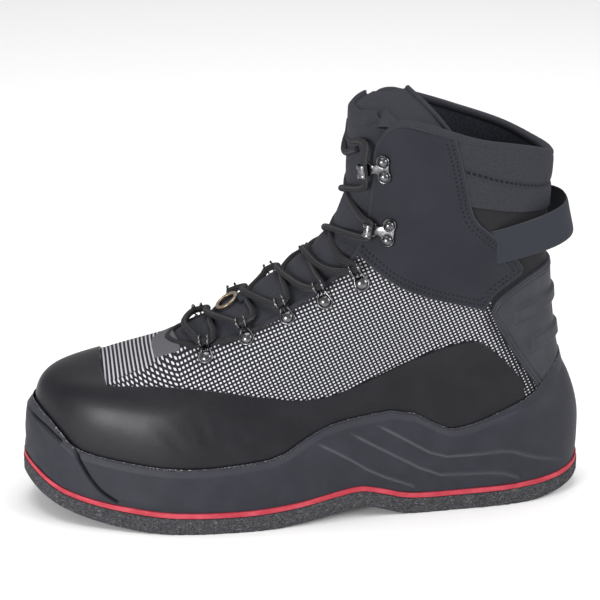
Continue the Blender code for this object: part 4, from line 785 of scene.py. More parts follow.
pad_s = np.linspace(-1.0, 1.0, 181)[:, None]
pad_f = np.concatenate([np.linspace(0.0, 0.06, 5), np.linspace(0.06, 1.0, 72)[1:]])[None, :]
rough_turn = pad_s * PAD_END_TURN
pad_low, pad_high = curve(PAD_EDGE, np.abs(rough_turn)), collar_v(rough_turn) - 0.03
pad_v = pad_low + (pad_high - pad_low) * pad_f
pad_turns = pad_s * curve(PAD_SIDE, pad_v)
seam_v = curve(SEAM, np.abs(pad_turns))
lower = np.clip((pad_v - pad_low) / (seam_v - pad_low), 0.0, 1.0)
upper_part = np.clip((pad_v - seam_v) / (pad_high - seam_v), 0.0, 1.0)
pillow = np.where(pad_v < seam_v, 1 - np.abs(2 * lower - 1) ** 4.0, 1 - np.abs(2 * upper_part - 1) ** 4.0)
pad_out = 0.1 + PILLOW * np.maximum(pillow, 0.0) ** 0.7 + 0.12 * hash_noise(
    last_point(pad_turns, pad_v), 16.0, 31
)
pad_out = np.where(lower < 0.5, np.maximum(pad_out, 1.5 * np.sqrt(np.clip(lower / 0.06, 0.0, 1.0))), pad_out)
pad_out = pad_out * np.clip((1 - np.abs(pad_s)) / 0.08, 0.15, 1.0)
seam_gap = (pad_v - seam_v) * MM_PER_V
pad_out[:, 0] = -0.3
pad_points = shell(pad_turns, pad_v, pad_out)
CLOTH = (0.0200, 0.0205, 0.0265), (0.0290, 0.0300, 0.0375)
padding = Finish("padding_cloth", (0.018, 0.018, 0.021), 0.85, Specular_IOR_Level=0.22)
fine = padding.noise(0.8, 2.0)
padding.feed("Base Color", padding.mottled(fine, *CLOTH))
padding.relief((fine, 0.12), (padding.noise(5.0), 0.25))
quilt = Finish("quilted_cloth", (0.018, 0.018, 0.021), 0.85, Specular_IOR_Level=0.22)
fine = quilt.noise(0.8, 2.0)
off_seam = quilt.value("seam_gap") ** 2.0
dash = quilt.step((quilt.value("seam_run") / QUILT_STITCH).part(), 0.75, 0.55)
stitch = quilt.step(off_seam, 0.20, 0.05) * dash
base = quilt.mottled(fine, *CLOTH)
quilt.feed("Base Color", quilt.blend(stitch * 0.85, base, (0.003, 0.003, 0.004)))
quilt.relief((fine, 0.12), (quilt.noise(5.0), 0.2), (quilt.step(off_seam, 0.0, 1.6), 0.5))
pad_piece = grid_piece(
    "collar_pad", pad_points, quilt, "padding_cloth", ["upper"],
    seam_gap=seam_gap, seam_run=pad_turns * MM_PER_TURN,
)

# Insole: a thin moulded footbed, cupped at its edges and faced with dark cloth, loose on the cup's floor.
INSOLE, INSOLE_IN, INSOLE_CUPPED = 4.0, WALL + 3 * FIT, 1.0

bed_angle = np.linspace(0.0, np.pi, 141)[:, None]
bed_turn = bed_angle / (2 * np.pi)
bed_outer, bed_inner = last_point(bed_turn, 0.0), last_point((1.0 - bed_turn) % 1.0, 0.0)
low_y = bed_outer[..., 1] + INSOLE_IN * np.sin(bed_angle)
high_y = bed_inner[..., 1] - INSOLE_IN * np.sin(bed_angle)
bed_f = np.linspace(0.0, 1.0, 31)[None, :]
bed_x = bed_outer[..., 0] - INSOLE_IN * np.cos(bed_angle)
cupped = INSOLE_CUPPED * np.sin(bed_angle) * np.abs(2 * bed_f - 1) ** 4
bed_y = low_y + (high_y - low_y) * bed_f
top = np.stack([bed_x + 0 * bed_y, bed_y, bed_outer[..., 2] + INSOLE + cupped + 0 * bed_y], -1)
under = np.stack([bed_x + 0 * bed_y, bed_y, bed_outer[..., 2] + 0 * bed_y], -1)
bed = np.concatenate([top, under[:, ::-1]], axis=1)
bed_finish = Finish("insole_cloth", (0.03, 0.03, 0.034), 0.92, Specular_IOR_Level=0.2)
nap = bed_finish.noise(1.0, 3.0)
bed_finish.feed("Base Color", bed_finish.mottled(nap, (0.022, 0.022, 0.026), (0.05, 0.05, 0.056)))
bed_finish.relief((nap, 0.3))
grid_piece("insole_bed", bed, bed_finish, "insole_cloth", ["insole"], crease=50, wrap_columns=True)

# Tongue: a foam-padded sheet of the same soft cloth, sewn in under the throat. Folded gussets of the cloth
# join its top to the collar's sides, and their rear edges are rolled.
TONGUE_PAD, TONGUE_LAP, TONGUE_REACH = 6.0, 0.03, 0.35
TONGUE_TOP, TONGUE_EARS = 8.0, 0.10
TONGUE_EDGE_OFF, TONGUE_MIDDLE_OFF, TONGUE_SWELL = -WALL - FIT - 0.2, -2.4, 1.7
CROSSINGS, CROSSING_REACH = (4.54, 5.07, 5.60, 6.05, 6.60, 7.20), 0.13

tongue_v = np.linspace(THROAT_V - TONGUE_REACH, TONGUE_TOP, 150)
across = np.sin(np.linspace(-1.0, 1.0, 61) * np.pi / 2)[None, :]
half = np.maximum(throat_half(tongue_v), 0.06) + TONGUE_LAP
near_top = np.clip((tongue_v - TONGUE_TOP + 0.5) / 0.5, 0.0, 1.0)[:, None]
tongue_turn = 0.5 + (half * (1 - 0.25 * near_top[:, 0] ** 3))[:, None] * across
raised_v = tongue_v[:, None] + TONGUE_EARS * near_top * (across**2 - 0.9 * across**6)
soft = np.sqrt(np.clip(1 - np.abs(across) ** 3, 0.03, 1.0))
pressed = np.max(
    [np.exp(-(((tongue_v - crossing) / CROSSING_REACH) ** 2)) for crossing in CROSSINGS], axis=0
)[:, None]
middle_off = TONGUE_MIDDLE_OFF + TONGUE_SWELL * (1 - pressed)
tongue_off = middle_off + (TONGUE_EDGE_OFF - middle_off) * across**2
swell = 0.25 * hash_noise(last_point(tongue_turn, raised_v), 20.0, 41)
front = shell(tongue_turn, raised_v, tongue_off + swell - 0.2)
rear_face = shell(tongue_turn, raised_v, tongue_off - TONGUE_PAD * soft)
crest = [shell(
    tongue_turn[-1:], raised_v[-1:] + 0.055 * np.sin(np.pi * f), tongue_off[-1:] - TONGUE_PAD * soft * f
) for f in (0.2, 0.4, 0.6, 0.8)]
tongue = np.concatenate([front, *crest, rear_face[::-1]])
tongue_piece = grid_piece("tongue_pad", tongue, padding, "padding_cloth", ["tongue"])

GUSSET_ROLL, GUSSET_BOW, FLAP_BOW, FOLD_PROUD = 1.7, 1.2, 1.5, 1.6
GUSSET = (
    # x, y and height in millimetres, from the near side of the collar up to the tongue's top: its fold,
    # then its rolled rear edge
    ((37.0, -29.0, 230.2), (45.6, -10.0, 236.4), (55.0, 6.0, 242.8)),
    ((80.0, -32.0, 225.0), (71.2, -12.0, 235.0), (60.3, 7.0, 243.0)),
)
TONGUE_FACE = ((27.9, 0.0, 225.6), (28.4, 2.0, 233.3), (32.9, 8.0, 236.8), (41.5, 12.0, 240.1))
FOLD = ((37.8, -29.0, 231.3), (51.8, -31.0, 231.4), (44.7, -10.0, 237.3))


def run_along(path):
    """How far along a line each of its points is."""
    return np.concatenate([[0.0], np.cumsum(np.linalg.norm(np.diff(path, axis=0), axis=1))])


def circle(count):
    """Angles evenly round a circle."""
    return 2 * np.pi * np.arange(count) / count


def tube(path, radius, sides):
    """Points of a closed tube along a path, with how far each is along it and round it."""
    path = np.asarray(path, float)
    tangent = unit(np.gradient(path, axis=0))
    side = np.cross(tangent[0], (0.0, 0.0, 1.0))
    if np.linalg.norm(side) < 0.2:
        side = np.cross(tangent[0], (0.0, 1.0, 0.0))
    rings = []
    angle = circle(sides)
    for at, ahead in zip(path, tangent):
        side = unit(side - ahead * (side @ ahead))
        rings.append(
            at + radius * (np.cos(angle)[:, None] * side + np.sin(angle)[:, None] * np.cross(ahead, side))
        )
    run = np.repeat(run_along(path)[:, None], sides, axis=1)
    return np.array(rings), run, np.tile(angle / (2 * np.pi), (len(path), 1))


def tube_faces(rows, sides, start=0):
    caps = [tuple(range(sides - 1, -1, -1)), tuple(range((rows - 1) * sides, rows * sides))]
    return [
        tuple(int(k) + start for k in face) for face in [*grid_faces(rows, sides, wrap_columns=True), *caps]
    ]


def resampled(path, step):
    """Points at even steps along a line."""
    path = np.asarray(path, float)
    length = run_along(path)
    at = np.linspace(0.0, length[-1], max(2, int(length[-1] / step) + 1))
    return np.stack([np.interp(at, length, path[:, k]) for k in range(path.shape[1])], -1)


def evenly(line, count):
    """A smooth line through some bends, as a number of points."""
    line = resampled(smoothed(line, 3), 0.7)
    at, steps = np.linspace(0, 1, count), np.linspace(0, 1, len(line))
    return np.stack([np.interp(at, steps, line[:, k]) for k in range(3)], -1)


def ruled(first, second, bulge, columns=20):
    """A sheet between two lines of points, bowed outwards."""
    f = np.linspace(0.0, 1.0, columns)[None, :, None]
    made = first[:, None] * (1 - f) + second[:, None] * f
    made[..., 1] -= bulge * np.sin(np.pi * f[..., 0])
    return made


for side_name, mirror, face_side, drop in (("outer", 1.0, 1.0, 0.0), ("inner", -1.0, 0.0, -7.0)):
    fold_line, roll_line = (
        evenly(np.array(end) * (1.0, mirror, 1.0) + (0.0, 0.0, drop), 30) for end in GUSSET
    )
    face_line = evenly(np.array(TONGUE_FACE) * (1.0, face_side, 1.0) + (0.0, 0.0, drop), 30)
    gusset = ruled(fold_line, roll_line, GUSSET_BOW * mirror)
    made = grid_piece(f"tongue_gusset_{side_name}", gusset, padding, "padding_cloth", ["tongue"])
    face = ruled(face_line, fold_line, FLAP_BOW * mirror)
    made = grid_piece(f"tongue_flap_{side_name}", face, padding, "padding_cloth", ["tongue"])
    rings, _, _ = tube(resampled(roll_line, 1.2), GUSSET_ROLL, 12)
    piece(f"gusset_roll_{side_name}", rings, tube_faces(len(rings), 12), padding, "padding_cloth", ["tongue"])
low, far, high = np.array(FOLD)
f, g = np.linspace(0.0, 1.0, 12)[:, None, None], np.linspace(0.0, 1.0, 12)[None, :, None]
leaf = (low * (1 - g) + far * g) * (1 - f) + high * f
leaf[..., 1] -= FOLD_PROUD
made = piece("gusset_fold", leaf, grid_faces(12, 12), padding, "padding_cloth", ["tongue"])

# Vamp label: a bare woven tag with fine ribs, light grey against the cloth. It is sewn flat on the vamp
# just in front of the throat.
TAG = (
    # turn and v of its corners and of its edges' middles, along its front edge, its middle and its rear edge
    ((0.510, 3.770), (0.468, 3.713), (0.436, 3.563)),
    ((0.545, 3.800), (0.478, 3.883), (0.436, 3.720)),
    ((0.580, 3.850), (0.490, 4.080), (0.433, 3.870)),
)
TAG_THICK = 0.5


def through_three(rows, f):
    """The curve through three rows, at f from the first to the last."""
    first, middle, last = rows
    return first * (1 - f) * (1 - 2 * f) + middle * 4 * f * (1 - f) + last * f * (2 * f - 1)


tag_steps = np.linspace(0.0, 1.0, 24)
tag_rows = [through_three(np.array(row)[:, None], tag_steps[:, None]) for row in TAG]
tag_at = through_three([row[:, None] for row in tag_rows], tag_steps[None, :, None])


def reaches(points, axis):
    """How far each point of a grid is from the grid's first and from its last row or column."""
    steps = np.linalg.norm(np.diff(points, axis=axis), axis=-1)
    first = np.cumsum(np.insert(steps, 0, 0.0, axis=axis), axis=axis)
    last = np.cumsum(np.insert(np.flip(steps, axis), 0, 0.0, axis=axis), axis=axis)
    return first, np.flip(last, axis)


def patch(at, high, low, edge=0.8):
    """Points over a grid of (turn, v), this far out of the last, rounded down to low round the border."""
    points = shell(at[..., 0], at[..., 1])
    near = np.min([*reaches(points, 0), *reaches(points, 1)], axis=0)
    round_off = np.sqrt(np.clip(1 - (1 - np.minimum(near / edge, 1.0)) ** 2, 0.0, 1.0))
    out = low + (high - low) * (0.35 + 0.65 * round_off)
    at = np.pad(at, ((1, 1), (1, 1), (0, 0)), mode="edge")
    out = np.pad(out, 1, constant_values=low - 0.2)
    return shell(at[..., 0], at[..., 1], out), near


tag = Finish("label_cloth", (0.09, 0.09, 0.10), 0.8, Specular_IOR_Level=0.2)
ribs = (tag.value("count") / 0.5).wave()
tag.feed("Base Color", tag.blend(ribs, (0.075, 0.075, 0.083), (0.105, 0.105, 0.115)))
tag.relief((ribs, 0.08))
tag_points, _ = patch(tag_at, TAG_THICK, 0.05, 0.4)
grid_piece("vamp_label", tag_points, tag, "mesh_cloth", count=tag_points[..., 0])

# Toe rand: a smooth coated-leather overlay in one piece, bonded round the foot from the toe cap to the heel.
# It is pressed over the toe's form, with a broad soft shine and a fine grain.
RAND_TOP = (
    # x and height of its top edge
    (-0.3640, 0.3740), (-0.3592, 0.3620), (-0.3550, 0.3430), (-0.3433, 0.3376), (-0.3195, 0.3388),
    (-0.2591, 0.3440), (-0.1738, 0.3417), (-0.0854, 0.3250), (-0.0091, 0.3108), (0.0335, 0.3158),
    (0.1037, 0.3458), (0.1768, 0.3854), (0.2500, 0.4167), (0.2866, 0.4229), (0.3150, 0.4062),
    (0.3400, 0.3750), (0.3700, 0.3292), (0.3990, 0.2700),
)
RAND_END, RAND_TUCK = (0.3840, 0.2917), 0.2
RAND_CREASES = (
    # x and height of each end in millimetres, width, depth
    ((-88.0, 62.0), (-70.0, 47.0), 3.5, 0.35),
    ((-66.0, 70.0), (-58.0, 50.0), 3.0, 0.25),
    ((-44.0, 66.0), (-40.0, 48.0), 3.0, 0.22),
    ((28.0, 66.0), (40.0, 74.0), 4.0, 0.25),
)


def locate(place, outer_side=True):
    """The (turn, v) at which the last's side passes through a place, given as shares of length and height."""
    x, z = place[0] * LENGTH, place[1] * HEIGHT
    turns = np.linspace(0.0, 0.5, 241) if outer_side else np.linspace(0.5, 1.0, 241)
    heights = np.linspace(0.0, len(LAST) - 1.0, 181)
    points = last_point(turns[:, None], heights[None, :])
    i, j = np.unravel_index(
        np.argmin((points[..., 0] - x) ** 2 + (points[..., 2] - z) ** 2), points.shape[:2]
    )
    t, v = turns[i], heights[j]
    for _ in range(12):
        here = last_point(t, v)
        dt, dv = (last_point(t + 1e-4, v) - here) / 1e-4, (last_point(t, v + 1e-3) - here) / 1e-3
        m = np.array([[dt[0], dv[0]], [dt[2], dv[2]]])
        if abs(np.linalg.det(m)) < 1e-6:
            break
        move = np.linalg.solve(m, [x - here[0], z - here[2]])
        t, v = t + np.clip(move[0], -0.02, 0.02), v + np.clip(move[1], -0.3, 0.3)
    return float(t), float(v)


EDGE_STEPS = np.array([0.0, 0.12, 0.3, 0.55, 0.9])


def shares(count, length):
    """Steps from 0 to 1 with finer ones within a millimetre of both ends."""
    fine = EDGE_STEPS / length
    return np.concatenate([fine, np.linspace(1.4 / length, 1 - 1.4 / length, count), 1 - fine[::-1]])


def coons(low, high, left, right, s, t):
    """Grid of (turn, v) between four edges; low and high run along, left and right run up."""
    s, t = s[None, :, None], t[:, None, None]
    ruled = (1 - t) * low[None] + t * high[None] + (1 - s) * left[:, None] + s * right[:, None]
    corners = (1 - s) * (1 - t) * low[0] + s * (1 - t) * low[-1] + (1 - s) * t * high[0] + s * t * high[-1]
    return ruled - corners


rand_s, rand_t = shares(420, 620.0), shares(44, 55.0)
rand_end = locate(RAND_END)[0]
rand_turns = rand_end + (1.0 - 2 * rand_end) * rand_s
rand_low = np.stack([rand_turns, height_to_v(rand_turns, LIP, broken=True) - RAND_TUCK], -1)
rand_high = np.stack([rand_turns, height_to_v(rand_turns, RAND_TOP)], -1)
rand_sides = [rand_low[k] + (rand_high[k] - rand_low[k]) * rand_t[:, None] for k in (0, -1)]
rand_at = coons(rand_low, rand_high, *rand_sides, rand_s, rand_t)
rand_flat = last_point(rand_at[..., 0], rand_at[..., 1])
rand_out = FIT + OVERLAY + 0.06 * hash_noise(rand_flat, 30.0, 51)
for first, second, width, depth in RAND_CREASES:
    off, side, run = near_line(rand_flat[..., [0, 2]], (first, second))
    ends = np.exp(-((run / np.hypot(second[0] - first[0], second[1] - first[1]) - 0.5) ** 2) / 0.12)
    swelling = 0.5 * np.exp(-(((off - 1.6 * width) / width) ** 2))
    rand_out = rand_out + depth * ends * (swelling - np.exp(-((off / width) ** 2)))
rand_points, _ = patch(rand_at, rand_out, FIT - 0.25, 0.9)
coated = Finish(
    "coated_leather", (0.009, 0.009, 0.011), 0.40, Specular_IOR_Level=0.2, Coat_Weight=0.14,
    Coat_Roughness=0.28,
)
pore = coated.cells(0.9)
haze = coated.noise(18.0, 4.0)
coated.feed("Base Color", coated.mottled(haze, (0.0045, 0.0045, 0.0070), (0.0075, 0.0075, 0.0105), 0.35))
coated.feed("Roughness", 0.38 + haze * 0.10 + coated.noise(1.5) * 0.06)
coated.relief((coated.step(pore, 0.0, 0.16), 0.035), (coated.noise(7.0), 0.12))
grid_piece("toe_rand_overlay", rand_points, coated, "coated_leather", ["toe_rand"])

# Heel counter: a moulded shell of hard rubber over the heel, with a double piping round its edge
# and two raised bars that run round the back.
COUNTER, COUNTER_LIFT = 1.9, -0.10
COUNTER_CREST = (
    (0.3207, 0.4958), (0.3299, 0.5250), (0.3552, 0.5513), (0.3933, 0.5792), (0.4287, 0.5938), (0.4360, 0.5950)
)
BARS = ((0.3628, 0.4729, 0.5083), (0.3963, 0.3937, 0.4125))
BAR_BACK, BAR_HALF, BAR_OUT, BAR_RAMP = 0.439, 4.4, 1.9, 2.0


def along(points, steps, outer_side=True, rounds=0):
    """(turn, v) at shares of the length of a line given by its places on one side of the last."""
    found = smoothed([locate(place, outer_side) for place in points], rounds)
    length = run_along(shell(found[:, 0], found[:, 1]))
    return np.stack([np.interp(steps * length[-1], length, found[:, k]) for k in (0, 1)], -1)


COUNTER_ACROSS, COUNTER_HIGH = 60.0, 80.0
PIPING = ((1.9, 0.45, -0.9), (3.0, 0.6, 0.45), (4.1, 0.45, -0.9))

counter_t = shares(90, COUNTER_HIGH)
front_edge = along(COUNTER_EDGE, counter_t, rounds=2)
steps = np.concatenate([EDGE_STEPS / COUNTER_ACROSS, np.linspace(1.4 / COUNTER_ACROSS, 1.0, 70)])
crest_line = along(COUNTER_CREST, steps, rounds=2)
crest_line[-1, 0] = 0.0
foot_turn = front_edge[0, 0] * (1 - steps)
foot_line = np.stack([foot_turn, height_to_v(foot_turn, LIP, broken=True) + COUNTER_LIFT], -1)
stretch = (front_edge[-1] - foot_line[0]) / (front_edge[-1] - front_edge[0])
front_edge = foot_line[0] + (front_edge - front_edge[0]) * stretch
crest_full = np.concatenate([crest_line, across_heel(crest_line)[-2::-1]])
foot_full = np.concatenate([foot_line, across_heel(foot_line)[-2::-1]])
full_s = np.concatenate([steps / 2, 1 - steps[-2::-1] / 2])
counter_at = coons(foot_full, crest_full, front_edge, across_heel(front_edge), full_s, counter_t)
counter_flat = last_point(counter_at[..., 0], counter_at[..., 1])
from_rim = np.min([reaches(counter_flat, 0)[1], *reaches(counter_flat, 1)], axis=0)
counter_out = np.full(counter_flat.shape[:2], FIT + COUNTER)
for front_x, low_z, high_z in BARS:
    share = np.clip((counter_flat[..., 0] / LENGTH - front_x) / (BAR_BACK - front_x), 0.0, 1.0)
    inside = (
        BAR_HALF - np.abs(counter_flat[..., 2] - HEIGHT * (low_z + (high_z - low_z) * share))
    ) / BAR_RAMP
    behind_front = (counter_flat[..., 0] - front_x * LENGTH) / BAR_RAMP
    lift = np.clip(np.minimum(inside, behind_front) + 0.3, 0.0, 1.0)
    counter_out = np.maximum(counter_out, FIT + COUNTER + BAR_OUT * lift * lift * (3 - 2 * lift))
for place, width, height in PIPING:
    counter_out = counter_out + height * np.exp(-(((from_rim - place) / width) ** 2))
counter_points, _ = patch(counter_at, counter_out, FIT - 0.25, 0.9)
hard = Finish("counter_rubber", (0.024, 0.025, 0.029), 0.6, Specular_IOR_Level=0.3)
hard.feed(
    "Base Color", hard.mottled(hard.noise(9.0, 4.0), (0.0230, 0.0240, 0.0310), (0.0310, 0.0325, 0.0400), 0.35)
)
hard.feed("Roughness", 0.54 + hard.noise(2.5) * 0.16)
hard.relief((hard.noise(0.5, 2.0), 0.06))
grid_piece("heel_counter_shell", counter_points, hard, "counter_rubber", ["heel_counter"])

# Ankle panels: nubuck-like overlays from the throat to the collar pad, sewn down with two rows of stitches
# along their lower and rear edges.
PANEL_REAR = (
    (0.3095, 0.5104), (0.3216, 0.5437), (0.3476, 0.5687), (0.3811, 0.5958), (0.3643, 0.6312),
    (0.3171, 0.6979), (0.2848, 0.7375), (0.2756, 0.7750), (0.2607, 0.8683), (0.2479, 0.9279),
)
PANEL_LOW = ((0.1128, 0.6521), (0.1433, 0.6188), (0.2037, 0.5604), (0.2692, 0.5208), (0.3095, 0.5000))
PANEL_EDGE, PANEL_DROP = 0.006, 0.05
STITCH_ROWS, STITCH_PITCH, HOLE = (3.0, 5.6), 2.6, 0.55

panel_s, panel_t = shares(80, 75.0), shares(110, 110.0)
panel_low = along(PANEL_LOW, panel_s, rounds=2)
panel_rear = along(PANEL_REAR, panel_t, rounds=1)
front_v = panel_low[0, 1] + (collar_v(0.39) - PANEL_DROP - panel_low[0, 1]) * panel_t
panel_front = np.stack([0.5 - throat_half(front_v) - PANEL_EDGE, front_v], -1)
panel_low = panel_low + (panel_front[0] - panel_low[0]) * (1 - panel_s)[:, None]
panel_rear = panel_rear + (panel_low[-1] - panel_rear[0]) * (1 - panel_t)[:, None]
top_turns = panel_front[-1, 0] + (panel_rear[-1, 0] - panel_front[-1, 0]) * panel_s
panel_top = np.stack([top_turns, collar_v(top_turns) - PANEL_DROP], -1)
panel_rear = panel_rear + (panel_top[-1] - panel_rear[-1]) * panel_t[:, None]
panel_at = coons(panel_low, panel_top, panel_front, panel_rear, panel_s, panel_t)
sewn = np.concatenate([panel_low, panel_rear[1:]])
sewn_line = resampled(shell(sewn[:, 0], sewn[:, 1]), 2.0)

nubuck = Finish("nubuck", (0.030, 0.031, 0.038), 0.78, Specular_IOR_Level=0.25)
suede = nubuck.noise(0.6, 3.0)
shade = nubuck.noise(24.0, 3.0)
base = nubuck.mottled(shade, (0.0125, 0.0130, 0.0195), (0.0160, 0.0165, 0.0235))
base = nubuck.blend(nubuck.step(suede, 0.62, 0.8) * 0.3, base, (0.035, 0.036, 0.042))
holes = None
for place, shift in zip(STITCH_ROWS, (0.0, 0.5)):
    across_row = (nubuck.value("edge") - place) / HOLE
    along_row = (nubuck.value("run") / STITCH_PITCH + shift).part() * (STITCH_PITCH / 2 / HOLE)
    hole = nubuck.step(across_row**2.0 + along_row**2.0, 1.5, 0.5)
    holes = hole if holes is None else holes + hole
base = nubuck.blend(nubuck.step(nubuck.value("edge"), 1.0, 0.3) * 0.5, base, (0.060, 0.061, 0.068))
nubuck.feed("Base Color", nubuck.blend(holes * 0.85, base, (0.003, 0.003, 0.004)))
nubuck.relief((suede, 0.06), (1.0 - holes, 0.5), (nubuck.noise(12.0), 0.3))
for side_name, at in (("outer", panel_at), ("inner", across_heel(panel_at))):
    flat_points = last_point(at[..., 0], at[..., 1])
    line = sewn_line if side_name == "outer" else resampled(shell(-sewn[:, 0], sewn[:, 1]), 2.0)
    edge, _, run = near_line(flat_points, line)
    panel_points, _ = patch(at, FIT + OVERLAY + 0.05 * hash_noise(flat_points, 24.0, 61), FIT - 0.25, 0.8)
    edge, run = (np.pad(numbers, 1, mode="edge") for numbers in (edge, run))
    grid_piece(
        f"ankle_overlay_{side_name}", panel_points, nubuck, "nubuck",
        [f"ankle_panel_{side_name}"], edge=edge, run=run,
    )

# Pull strap: a bare elastic band with ribbed faces and a plain border. It stands off the heel, and its ends
# are sewn in under both ankle panels.
STRAP_REACH, STRAP_WIDTH, STRAP_THICK = 0.188, 21.0, 1.5
STRAP_END_Z, STRAP_BACK_Z, STRAP_SLANT = 0.6550, 0.7040, 0.12
STRAP_OFF_TOP, STRAP_OFF_LOW, STRAP_TUCK, LAST_RISE = 10.0, 14.5, 2.1, 0.0958 * HEIGHT


def height_on_last(turn, height):
    """The v at which each turn's column of the last reaches a height in millimetres."""
    steps = np.linspace(0.0, COLLAR_V, 641)
    points = last_point(np.asarray(turn)[:, None], steps[None, :])
    return np.array([np.interp(h, column, steps) for h, column in zip(height, points[..., 2])])


strap_turns = np.linspace(-STRAP_REACH, STRAP_REACH, 141)
strap_share = np.cos(np.pi / 2 * strap_turns / STRAP_REACH)
strap_middle = height_on_last(
    strap_turns, HEIGHT * (STRAP_END_Z + (STRAP_BACK_Z - STRAP_END_Z) * strap_share)
)
strap_w = np.sin(np.linspace(-1.0, 1.0, 21) * np.pi / 2) / 2
strap_v = strap_middle[:, None] + strap_w * STRAP_WIDTH / LAST_RISE
strap_turn = strap_turns[:, None] * (1 + STRAP_SLANT * strap_w)
reach = STRAP_OFF_LOW + (STRAP_OFF_TOP - STRAP_OFF_LOW) * (strap_w + 0.5)
tucked = STRAP_TUCK * np.exp(-((strap_share[:, None] / 0.16) ** 2))
strap_off = 0.2 + reach * np.clip(strap_share, 0.0, 1.0)[:, None] ** 1.6 - tucked
thick = STRAP_THICK * np.sqrt(1 - (2 * np.abs(strap_w)) ** 8)
strap_in = shell(strap_turn, strap_v, strap_off + (STRAP_THICK - thick) / 2)
strap_out = shell(strap_turn, strap_v, strap_off + (STRAP_THICK + thick) / 2)
strap = np.concatenate([strap_out, strap_in[:, ::-1]], axis=1)
webbing = Finish("webbing", (0.026, 0.027, 0.032), 0.82, Specular_IOR_Level=0.25)
rib = (webbing.value("across") / 0.55).wave()
tick = (webbing.value("run") / 0.8).wave()
border = webbing.step(webbing.value("across").math("ABSOLUTE", webbing.value("across")), 9.6, 10.4)
base = webbing.blend(rib * 0.5 + tick * 0.3, (0.0180, 0.0200, 0.0290), (0.0300, 0.0325, 0.0430))
webbing.feed("Base Color", webbing.blend(border, base, (0.034, 0.035, 0.040)))
webbing.relief((rib * 0.6 + tick * 0.4, 0.16), (webbing.noise(2.0), 0.1))
strap_across = np.concatenate([strap_w, strap_w[::-1]]) * STRAP_WIDTH + 0 * strap[..., 0]
strap_run = strap_turns[:, None] * 300.0 + 0 * strap[..., 0]
grid_piece(
    "pull_strap_band", strap, webbing, "webbing", ["pull_strap"], wrap_columns=True,
    across=strap_across, run=strap_run,
)

# Bindings: a soft roll folded over the whole edge of collar and throat, and a flat bound edge round the
# throat's base.
ROLL_HIGH, ROLL_OUT = 2.4, 1.3


def edge_wrap(name, path, high, out, finish, slot, replaces):
    """A rounded strip folded over the upper's edge along a path of (turn, v)."""
    centre = shell(path[:, 0], path[:, 1])
    normal = last_normal(path[:, 0], path[:, 1])
    outward = unit(np.cross(unit(np.gradient(centre, axis=0)), normal))
    if outward[len(path) // 2, 2] < 0:
        outward = -outward
    wall = wall_at(path[:, 0] % 1.0, path[:, 1])[:, None]
    angle = circle(20)
    across = (wall / 2 + out[:, None]) * flattened(np.cos(angle), 0.75) - wall / 2
    up = high[:, None] * (flattened(np.sin(angle), 0.75) - 0.45)
    points = centre[:, None] + normal[:, None] * across[..., None] + outward[:, None] * up[..., None]
    return piece(name, points, tube_faces(len(points), 20), finish, slot, replaces)


roll_end = COLLAR_STEPS + 118
roll_path = np.concatenate([edge_at[:roll_end][::-1], across_heel(inner_edge[:roll_end])[1:]])
size = np.clip((roll_path[:, 1] - 7.0) / 0.5, 0.0, 1.0)
high, out = 1.7 + (ROLL_HIGH - 1.7) * size, 0.5 + (ROLL_OUT - 0.5) * size
edge_wrap("collar_roll", roll_path, high, out, padding, "nubuck", ["collar_binding"])
base_path = edge_at[COLLAR_STEPS + 95 :]
base_path = np.concatenate([base_path, np.stack([1.0 - base_path[-2::-1, 0], base_path[-2::-1, 1]], -1)])
low = np.clip((4.7 - base_path[:, 1]) / 0.3, 0.0, 1.0)
band_dark = Finish("band_cloth", (0.018, 0.018, 0.021), 0.7, Specular_IOR_Level=0.25)
band_dark.feed(
    "Base Color", band_dark.mottled(band_dark.noise(2.0), (0.008, 0.008, 0.010), (0.015, 0.015, 0.018))
)
band_dark.relief((band_dark.noise(0.8), 0.1))
edge_wrap("throat_band", base_path, 1.6 + 0.7 * low, 0.5 + 0.5 * low, band_dark, "nubuck", ["throat_binding"])

# Lacing hardware: dark polished nickel. Five pairs of wire D-rings, each round a domed rivet and ending in
# two upright eyes, then two pairs of open hooks, each on two domed rivets.
RINGS = (
    # rivet's turn and v, then those of the throat's edge that it points to
    ((0.3875, 3.80), (0.428, 4.22)),
    ((0.3792, 4.34), (0.418, 4.70)),
    ((0.3653, 4.85), (0.400, 5.16)),
    ((0.3440, 5.22), (0.382, 5.58)),
    ((0.3240, 5.62), (0.355, 5.95)),
)
HOOKS = (((0.3480, 6.80), (0.400, 6.86)), ((0.3740, 7.49), (0.420, 7.48)))
HOOKS_BACK = 0.035
WIRE, EYE_R, EYE_Y, EYE_X, LOOP_R, EYE_TILT = 0.68, 3.1, 8.6, 1.9, 4.15, 0.34
EYE_Z = EYE_R + 0.7
HOOK_R, RIVET_R, RIVET_H = 3.4, 3.75, 2.9


def seat(base, towards):
    """Point and axes of a fitting that sits on the upper at base and points towards another (turn, v)."""
    point, out = shell(*base), last_normal(*base)
    up = shell(*towards) - point
    up = unit(up - out * (up @ out))
    return point, np.cross(up, out), up, out


def domed(radius, height, centre, rim):
    """Points and faces of a domed rivet head with a rounded rim."""
    rise = np.radians(np.linspace(4, 88, 12))
    profile = [(radius + rim, 0.0), (radius + rim, 0.35), (radius + rim * 0.6, 0.7)]
    profile += [(radius + 0.1, 0.62), (radius - 0.1, 0.45)]
    profile += [((radius - 0.15) * np.cos(a), 0.45 + (height - 0.45) * np.sin(a)) for a in rise]
    rings = [[(r * np.cos(a), r * np.sin(a), z) for a in circle(28)] for r, z in profile]
    return np.array(rings) + centre, tube_faces(len(rings), 28)


